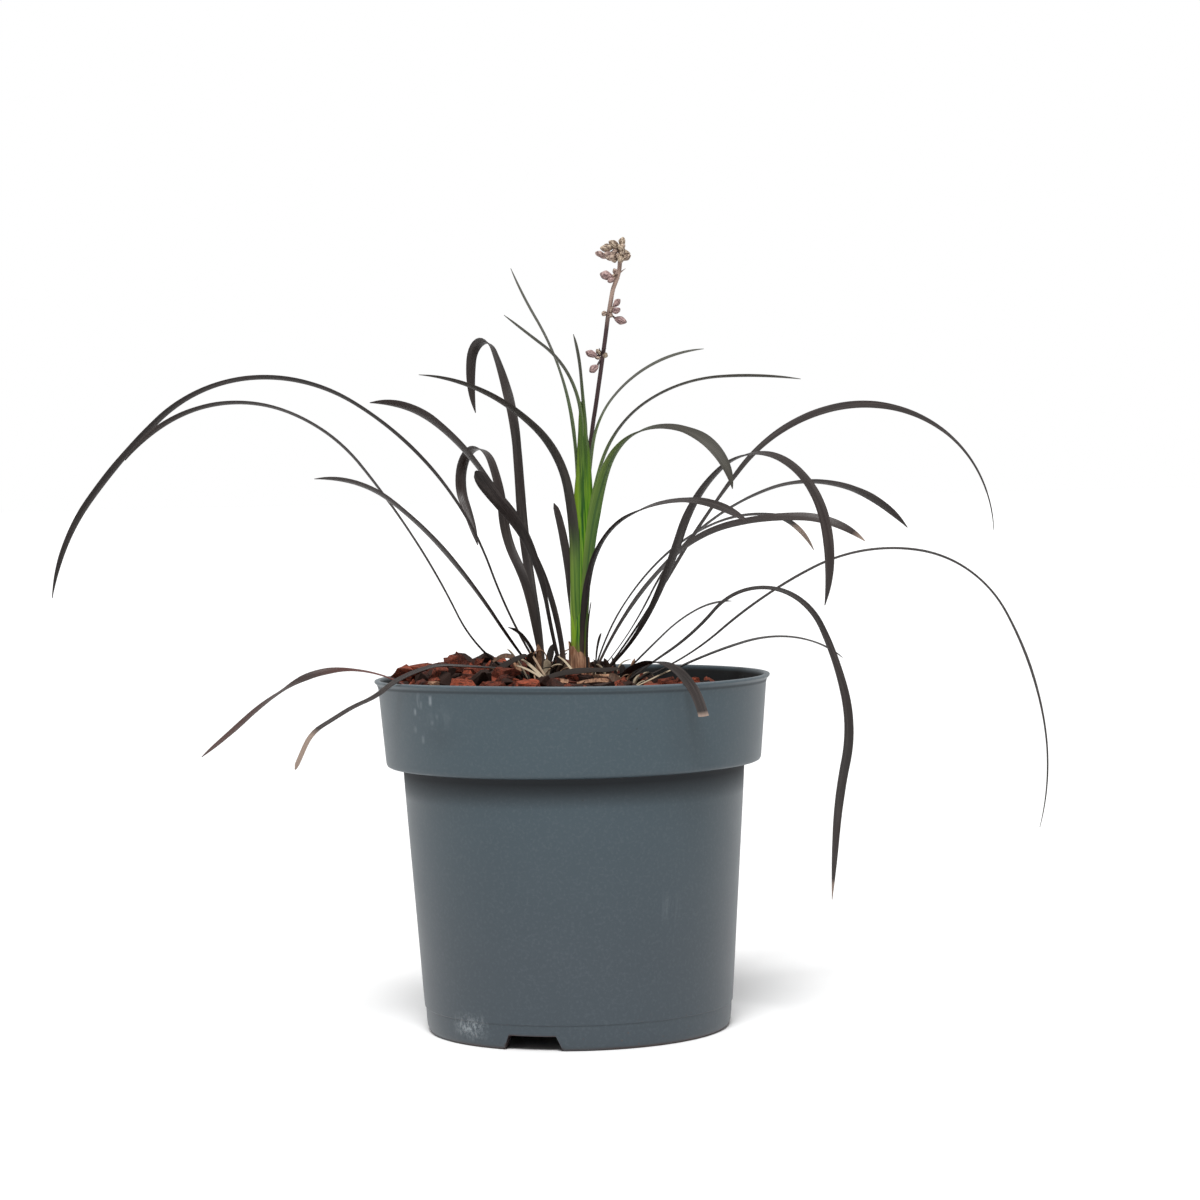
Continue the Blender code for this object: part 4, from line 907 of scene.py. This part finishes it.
def make_bark():
    """Bark chips dropped one by one, each resting on those below, then fine crumbs."""
    dice = random.Random(CHIP_SEED)
    form = Form()
    low_leaves = [spot for leaf in LEFT_LEAVES + RIGHT_LEAVES + (LOOSE_LEAF,)
                  for spot, *_ in spine(leaf, 4.0) if spot.z < RIM_HEIGHT + 6.0]
    piled = {}
    for middle, sizes, heading, tilt, tint in SET_CHIPS:
        turn = turned(heading, "Z") @ turned(tilt, "X")
        chunk(form, dice, Vector(middle), Vector(sizes) / 2.0, turn, tint, SET_CHIP_CORNERS)
    for _ in range(CHIP_COUNT):
        x, y = on_disc(dice, CHIP_REACH)
        length = dice.uniform(*CHIP_LENGTH) * (0.75 + 0.25 * dice.random())
        half = Vector((length, length * dice.uniform(*CHIP_BREADTH),
                       length * dice.uniform(*CHIP_HEIGHT))) / 2.0
        turn = (Matrix.Rotation(dice.uniform(0.0, math.tau), 3, "Z")
                @ turned(dice.gauss(0.0, CHIP_LEANS[0]), "X")
                @ turned(dice.gauss(0.0, CHIP_LEANS[1]), "Y"))
        tint = dice.random() * 0.95
        sparse = smooth_step(DROP_START, DROP_END, x) * smooth_step(*SPARSE_DEPTHS, y)
        if dice.random() < CHIPS_LEFT_OUT * sparse or near_shoot(x, y, half.x * SHOOT_CLEARANCE):
            continue
        if any(math.hypot(middle[0] - x, middle[1] - y) < (sizes[0] / 2.0 + half.x) * CHIP_SPACING
               for middle, sizes, *_ in SET_CHIPS):
            continue
        cell = (round(x / PILE_CELL), round(y / PILE_CELL))
        height = soil_height(x, y) + min(piled.get(cell, 0.0), PILE_MOST) + half.z * CHIP_RESTS
        if math.hypot(x, y) + half.x > SOIL_RADIUS - 1.0:
            half *= 0.7
            height = min(height, RIM_HEIGHT + 0.5)
        if any(math.hypot(spot.x - x, spot.y - y) < half.x + LEAF_CLEARANCE
               and spot.z < height + half.z + 1.0 for spot in low_leaves):
            continue
        chunk(form, dice, Vector((x, y, height)), half, turn, tint, dice.randint(*CHIP_CORNERS))
        piled[cell] = piled.get(cell, 0.0) + half.z * 0.8
    for _ in range(CRUMB_COUNT):
        x, y = on_disc(dice, SOIL_RADIUS - 1.0)
        size = dice.uniform(*CRUMB_SIZE)
        half = Vector((size, size * dice.uniform(0.6, 1.0), size * dice.uniform(0.5, 0.9))) / 2.0
        turn = Matrix.Rotation(dice.uniform(0.0, math.tau), 3, Vector((dice.random(), 1.0, 0.3)))
        height = crumbled(x, y) + half.z * 0.5
        chunk(form, dice, Vector((x, y, height)), half, turn, dice.random() * 0.8, CRUMB_CORNERS)
    piece("bark_mulch_chips", form.mesh("bark_mulch_chips"), chip_material(),
          ("bark_mulch",), CHIP_SHARP_ANGLE)


# Leaves

def spine(leaf, station=STATION):
    """Points along a leaf's middle with share, heading and climb."""
    leaf = Leaf(*leaf)
    steps = max(8, round(leaf.length / station))
    point = Vector(leaf.foot)
    line = []
    for step in range(steps + 1):
        share = step / steps
        turn = math.radians(leaf.heading + leaf.swing * share)
        climb = math.radians(along(leaf.climbs, share))
        line.append((point.copy(), share, turn, climb))
        middle = (step + 0.5) / steps
        point = point + forward(math.radians(leaf.heading + leaf.swing * middle),
                                math.radians(along(leaf.climbs, middle))) * leaf.length / steps
    return line


def rooted(line, root):
    """The spine with a smooth run from its root to its foot put before it."""
    foot, _, turn, climb = line[0]
    ahead = forward(turn, climb)
    reach = (foot - root).length
    steps = max(3, round(reach / STATION))
    places = []
    for step in range(steps):
        share = step / steps
        straight = root.lerp(foot, share)
        places.append(straight.lerp(foot - ahead * reach * (1.0 - share), share))
    level = Vector((math.cos(turn), math.sin(turn)))
    before = []
    for place, after in zip(places, places[1:] + [foot]):
        run = after - place
        before.append((place, 0.0, turn, math.atan2(run.z, run.xy.dot(level))))
    return before + line


def blade_width(share, width, blunt, feet):
    widening = feet[0] + (1.0 - feet[0]) * smooth_step(0.0, feet[1], share)
    if blunt:
        past = max(0.0, (share - blunt) / (SQUARE - blunt))
        taper = math.sqrt(max(0.0, 1.0 - past ** 2.2))
    else:
        past = max(0.0, (share - TAPER_FROM) / (1.0 - TAPER_FROM))
        taper = 1.0 - 0.28 * past - 0.68 * past ** 4
    return width * max(min(widening, taper), TIP_WIDTH)


def strap(form, line, leaf, thickness, cups, tint, blunt=None, green=None, dry=0.0,
          feet=BROAD_FOOT, olive=0.0):
    """A strap leaf: a shallow channel with thin edges, swept along its spine."""
    width, rolls = leaf[4], leaf[6]
    seed = tint * 50.0
    run = 0.0
    rows = []
    before = line[0][0]
    for point, share, turn, climb in line:
        run += (point - before).length
        before = point
        roll = math.radians(along(rolls, share)
                            + ROLL_WOBBLE * noise.noise(Vector((run / 28.0, seed, 0.0))))
        side = Vector((-math.sin(turn), math.cos(turn), 0.0))
        upward = forward(turn, climb).cross(side)
        across = side * math.cos(roll) + upward * math.sin(roll)
        face = upward * math.cos(roll) - side * math.sin(roll)
        half = blade_width(share, width, blunt, feet) / 2.0
        half *= 1.0 + WIDTH_WOBBLE * noise.noise(Vector((run / 9.0, seed, 7.0)))
        root_share = smooth_step(16.0, 0.0, run)
        cup = math.radians(cups[0] * root_share + cups[1] * (1.0 - root_share))
        radius = half / (cup / 2.0)
        marks = {"along": share, "tint": tint, "olive": olive,
                 "green": green(point, share) if green else 0.0,
                 "dry": smooth_step(1.0 - dry * 1.12, 1.0 - dry * 0.88, share) if dry else 0.0}
        upper = []
        lower = []
        for u in SECTION:
            bend = cup / 2.0 * u
            middle = point + across * radius * math.sin(bend) + face * radius * (1 - math.cos(bend))
            outward = face * math.cos(bend) - across * math.sin(bend)
            thick = thickness * (MARGIN + (1.0 - MARGIN) * (1.0 - u * u) ** 0.6)
            thick *= 0.35 + 0.65 * min(1.0, half / (width * 0.4))
            marks["across"] = u
            marks["strap"] = (half * u * MM, run * MM, seed * MM)
            upper.append(form.point(middle + outward * thick / 2.0, **marks))
            lower.append(form.point(middle - outward * thick / 2.0, **marks))
        rows.append(upper + list(reversed(lower)))
    form.solid(rows)


def make_tuft(name, crown, leaves, colour):
    form = Form()
    dice = random.Random(name)
    middle_x, middle_y = crown[:2]
    for number, leaf in enumerate(leaves):
        x, y = leaf[0][:2]
        root = Vector((middle_x + SINK * (x - middle_x), middle_y + SINK * (y - middle_y),
                       CROWN_MIDDLE))
        key = (name, number)
        strap(form, rooted(spine(leaf), root), leaf, BLADE, (ROOT_CUP, CUP),
              TINTS.get(key, dice.random()), BLUNT.get(key), None, DRY_TIPS.get(key, 0.0),
              FEET.get(key, SLIM_FOOT))
    closed_piece(name + "_leaves", form, colour, (name,))


def make_crown(name, crown, count, sheath):
    """Old leaf bases and torn dry sheaths packed round the foot of a tuft."""
    form = Form()
    dice = random.Random(name)

    def on_crown(angle, reach, below):
        x = crown[0] + crown[2] * reach * math.cos(math.radians(angle))
        y = crown[1] + crown[3] * reach * math.sin(math.radians(angle))
        return (x, y, soil_height(x, y) - below)

    for number in range(count):
        angle = 360.0 * (number + dice.uniform(-0.3, 0.3)) / count
        foot = on_crown(angle, dice.uniform(0.25, 0.95), 2.0)
        lean = dice.uniform(*STUB_LEAN)
        length = dice.uniform(*STUB_LENGTH)
        stub = Leaf(foot, angle, dice.uniform(-30, 30), length, dice.uniform(*STUB_WIDTH),
                    (lean, lean - dice.uniform(0.0, 20.0), lean - dice.uniform(5.0, 50.0)),
                    (0, dice.uniform(-30, 30)))
        strap(form, spine(stub, 1.2), stub, STUB_THICKNESS, STUB_CUPS, dice.choice(STUB_TINTS))
    for _ in range(count):
        angle = dice.uniform(0.0, 360.0)
        fibre = Leaf(on_crown(angle, 0.9, 1.0), angle, dice.uniform(-140, 140),
                     dice.uniform(*FIBRE_LENGTH), FIBRE_WIDTH,
                     (dice.uniform(20, 80), dice.uniform(-10, 60), dice.uniform(-60, 20)), (0, 60))
        strap(form, spine(fibre, 0.8), fibre, FIBRE_THICKNESS, FIBRE_CUPS, dice.choice(FIBRE_TINTS))
    closed_piece(name, form, sheath)


def column_at(height):
    """The column's middle x and half widths at a height."""
    for lower, upper in zip(COLUMN, COLUMN[1:]):
        if height <= upper[0]:
            share = smooth_step(lower[0], upper[0], height) * 0.5
            share += 0.5 * (height - lower[0]) / (upper[0] - lower[0])
            return tuple(a + (b - a) * share for a, b in zip(lower[1:], upper[1:]))
    return COLUMN[-1][1:]


def make_column(green):
    """Folded leaf bases, one over another, with grooves between them."""
    form = Form()
    rows = []
    low, high = COLUMN[0][0], COLUMN[-1][0]
    for step in range(COLUMN_STEPS + 1):
        height = low + (high - low) * step / COLUMN_STEPS
        x, half_x, half_y = column_at(height)
        row = []
        for side in range(COLUMN_SIDES):
            angle = math.tau * side / COLUMN_SIDES
            groove = 1.0
            for seam, twist in SEAMS:
                away = (math.degrees(angle) - (seam + twist * (height - 150.0)) + 180.0) % 360.0 - 180.0
                groove -= SEAM_DEPTH * math.exp(-(away / SEAM_SPREAD) ** 2)
            row.append(form.point((x + half_x * groove * math.cos(angle),
                                   half_y * groove * math.sin(angle), height),
                                  across=math.cos(angle)))
        rows.append(row)
    form.solid(rows)
    closed_piece("middle_shoot_column", form, green, ("middle_shoot",))


def make_middle_leaves(colour):
    form = Form()
    dice = random.Random("middle_shoot")
    for number, leaf in enumerate(MIDDLE_LEAVES):
        foot = Vector(leaf[0])
        start = max(foot.z - ROOT_RUNS[number], 120.0)
        x, _, half_y = column_at(start)
        root = Vector((x + (foot.x - x) * 0.5, half_y * (-0.3 if foot.y < 1 else 0.3), start))

        def green(point, share, reach=GREEN_REACH[number], length=leaf[3]):
            fade = smooth_step(reach, reach * 0.5, share * length) if reach else 0.0
            return fade * smooth_step(128.0, 140.0, point.z)

        key = ("middle_shoot", number)
        strap(form, rooted(spine(leaf), root), leaf, BLADE, (MIDDLE_ROOT_CUP, CUP), dice.random(),
              BLUNT.get(key), green, feet=FEET.get(key, BROAD_FOOT), olive=OLIVE[number])
    closed_piece("middle_shoot_leaves", form, colour)


def make_sheath(colour):
    """Thin torn sheath wrapped round the front of the column's foot."""
    form = Form()
    rows = []
    for step in range(SHEATH_TURNS + 1):
        share = step / SHEATH_TURNS
        angle = math.radians(SHEATH_START + SHEATH_SWEEP * share)
        top = SHEATH_TOP + (3.0 * noise.noise(Vector((share * 6.0, 3.0, 0.0)))
                            - 3.4 * math.cos(angle))
        heights = [SHEATH_BOTTOM + (top - SHEATH_BOTTOM) * level / SHEATH_LEVELS
                   for level in range(SHEATH_LEVELS + 1)]
        row = []
        for skin, levels in ((0.0, reversed(heights)), (SHEATH_THICKNESS, heights)):
            for height in levels:
                x, half_x, half_y = column_at(height)
                swell = 0.45 + skin + 0.35 * noise.noise(Vector((angle * 2, height / 5, 0.0)))
                row.append(form.point((x + (half_x + swell) * math.cos(angle),
                                       (half_y + swell) * math.sin(angle), height), tint=0.3))
        rows.append(row)
    form.solid(rows)
    closed_piece("papery_sheath_wrap", form, colour, ("papery_sheath",))


def make_loose_leaf(colour):
    form = Form()
    strap(form, spine(LOOSE_LEAF), LOOSE_LEAF, BLADE, (LOOSE_ROOT_CUP, CUP), LOOSE_TINT,
          feet=LOOSE_FOOT)
    closed_piece("loose_leaf_blade", form, colour, ("loose_leaf",))


def make_litter(colour):
    """Dead leaves and straws lying on the bark in front of the shoots."""
    form = Form()
    strap(form, spine(DEAD_LEAF, 1.0), DEAD_LEAF, DEAD_THICKNESS, DEAD_CUPS, DEAD_TINT)
    for *scrap, tint in SCRAPS:
        strap(form, spine(scrap, 0.8), scrap, SCRAP_THICKNESS, SCRAP_CUPS, tint, SCRAP_BLUNT)
    closed_piece("dead_leaf_litter", form, colour, ("dead_leaf",))


# Flower spike

def stem_at(height):
    """The stem's middle at a height, on a smooth curve through its stations."""
    for number, (lower, upper) in enumerate(zip(STEM, STEM[1:])):
        if height <= upper[2]:
            share = (height - lower[2]) / (upper[2] - lower[2])
            before = Vector(STEM[max(number - 1, 0)])
            after = Vector(STEM[min(number + 2, len(STEM) - 1)])
            first, second = Vector(lower), Vector(upper)
            point = (first * 2 + (second - before) * share
                     + (before * 2 - first * 5 + second * 4 - after) * share ** 2
                     + (first * 3 - before - second * 3 + after) * share ** 3) / 2
            point.z = height
            return point
    return Vector(STEM[-1])


def tube(form, points, radii, sides):
    rows = []
    for number, (point, radius) in enumerate(zip(points, radii)):
        after = points[min(number + 1, len(points) - 1)]
        before = points[max(number - 1, 0)]
        turn = (after - before).to_track_quat("Z", "Y").to_matrix()
        reaches = [turn @ Vector((x, y, 0.0)) for x, y in ring(radius, sides)]
        rows.append([form.point(point + reach, grain=point + reach) for reach in reaches])
    form.solid(rows)


def bud(form, base, tip, radius, tint, dice):
    """A bud of six narrow petals that close to a blunt point."""
    turn = (tip - base).to_track_quat("Z", "Y").to_matrix()
    length = (tip - base).length
    seed = Vector((dice.uniform(0, 60), dice.uniform(0, 60), 0.0))
    rows = []
    for step in range(BUD_STEPS + 1):
        share = step / BUD_STEPS
        swell = math.sin(math.pi * min(1.0, 0.09 + 0.88 * share)) ** 0.7
        swell *= 0.82 + 0.18 * math.sin(math.pi * share * 0.8)
        row = []
        for side in range(BUD_SIDES):
            angle = math.tau * side / BUD_SIDES
            uneven = noise.noise(Vector((math.cos(angle), math.sin(angle), share * 2)) * 1.2 + seed)
            reach = radius * swell * (1.0 + 0.10 * math.cos(6 * angle) * share + 0.26 * uneven)
            local = Vector((math.cos(angle) * reach, math.sin(angle) * reach, length * share))
            row.append(form.point(base + turn @ local, grain=local + seed, tint=tint))
        rows.append(row)
    form.solid(rows)


def make_spike():
    stem = Form()
    low, high = STEM[0][2], STEM[-1][2]
    heights = [low + (high - low) * step / STEM_STEPS for step in range(STEM_STEPS + 1)]
    radii = [STEM_RADIUS * (1.0 + 0.15 * (height - low) / (high - low)) for height in heights]
    tube(stem, [stem_at(height) for height in heights], radii, STEM_SIDES)
    buds = Form()
    dice = random.Random("spike")
    for height, bunch in BUNCHES:
        node = stem_at(height)
        in_head = height > HEAD_FROM
        for _ in range(HEAD_KNOBS if in_head else SIDE_KNOBS):
            reach = Vector([dice.uniform(*span) for span in KNOB_SPREAD])
            if not in_head:
                reach *= SIDE_KNOB_SHARE
            knob = node + reach
            ahead = (reach + Vector((0.0, 0.0, 0.6))).normalized()
            bud(buds, knob - ahead, knob + ahead * dice.uniform(*KNOB_LENGTH),
                dice.uniform(*KNOB_RADIUS), dice.uniform(*KNOB_RIPENESS), dice)
        for x, y, z, length, ripe in bunch:
            middle = node + Vector((x, y, z))
            ahead = (middle - node).normalized()
            ahead = (ahead + Vector((0, 0, dice.uniform(-0.2, 0.35)))).normalized()
            base = middle - ahead * length / 2.0
            bend = node.lerp(base, 0.5) + Vector((0, 0, 0.5))
            stalk = [node, node.lerp(bend, 0.6), bend.lerp(base, 0.4), base + ahead * 0.2]
            tube(stem, stalk, STALK_RADII, STALK_SIDES)
            bud(buds, base, middle + ahead * length / 2.0, length * dice.uniform(*BUD_BREADTH),
                ripe, dice)
        for _ in range(BRACTS):
            turn = dice.uniform(0, 360)
            bract = Leaf(tuple(node), turn, 20, dice.uniform(*BRACT_LENGTH), 1.2,
                         (70, 40, dice.uniform(0, 60)), (0, 10))
            line = spine(bract, 0.6)
            tube(stem, [place[0] for place in line],
                 [BRACT_RADIUS * (1.0 - 0.75 * place[1]) for place in line], BRACT_SIDES)
    closed_piece("flower_stem", stem, stem_material(), ("flower_spike",))
    closed_piece("flower_buds", buds, bud_material(), (), 60.0)


# Floor, light and camera

def make_floor():
    form = Form()
    corners = [form.point((x * FLOOR_REACH, y * FLOOR_REACH, 0.0))
               for x, y in ((-1, -1), (1, -1), (1, 1), (-1, 1))]
    form.faces.append(tuple(corners))
    mesh = form.mesh("floor")
    made = Shader("pale_floor", 0.9, 0.0)
    grain = made.place.noise(3.0, 2.0)
    mesh.materials.append(made.fill({"Base Color": grain.mix("floor_low", "floor_high")}))
    placed("floor", mesh)


def make_world():
    """Even white to the camera, and brighter behind the plant than in front of it to the rest."""
    world = bpy.data.worlds.new("studio")
    world.use_nodes = True
    tree = world.node_tree
    behind = add_node(tree, "TexCoord", "Generated", {}).part("Y").ramp(-1.0, 1.0)
    light = add_node(tree, "LightPath", "Is Camera Ray", {}).between(
        behind.between(WORLD_FRONT, WORLD_BACK), 1.0)
    feed(tree, tree.nodes["Background"].inputs["Color"], "white")
    feed(tree, tree.nodes["Background"].inputs["Strength"], light)
    bpy.context.scene.world = world
    bpy.context.scene.view_settings.view_transform = "Standard"


def make_sun():
    """A large soft light overhead, a little to the left and in front."""
    light = bpy.data.lights.new("soft_top_light", "SUN")
    light.energy = SUN_STRENGTH
    light.angle = math.radians(SUN_SPREAD)
    made = placed("soft_top_light", light)
    made.rotation_euler = (-Vector(SUN_FROM)).to_track_quat("-Z", "Y").to_euler()


def make_camera():
    lens = bpy.data.cameras.new("camera")
    lens.lens = LENS
    lens.sensor_width = SENSOR
    lens.clip_start = 0.05
    lens.clip_end = 100.0
    made = placed("camera", lens)
    tip = Matrix.Rotation(math.radians(90.0 - CAMERA_PITCH), 4, "X")
    roll = Matrix.Rotation(math.radians(-CAMERA_ROLL), 4, "Z")
    made.matrix_world = Matrix.Translation(Vector(CAMERA_PLACE) * MM) @ tip @ roll
    bpy.context.scene.camera = made


def main():
    blade = blade_material("mondo_leaf", 0.05, "root_tan", 0.45, "leaf_worn")
    rusty = blade_material("loose_mondo_leaf", 0.42, "root_red", 0.75, "leaf_rusty")
    sheath = sheath_material()
    make_pot()
    make_soil()
    make_bark()
    make_tuft("left_tuft", LEFT_CROWN, LEFT_LEAVES, blade)
    make_tuft("right_tuft", RIGHT_CROWN, RIGHT_LEAVES, blade)
    make_crown("left_crown_bases", LEFT_CROWN, 22, sheath)
    make_crown("right_crown_bases", RIGHT_CROWN, 16, sheath)
    make_column(column_material())
    make_middle_leaves(blade)
    make_sheath(sheath)
    make_loose_leaf(rusty)
    make_litter(sheath)
    make_spike()
    make_floor()
    make_world()
    make_sun()
    make_camera()


main()
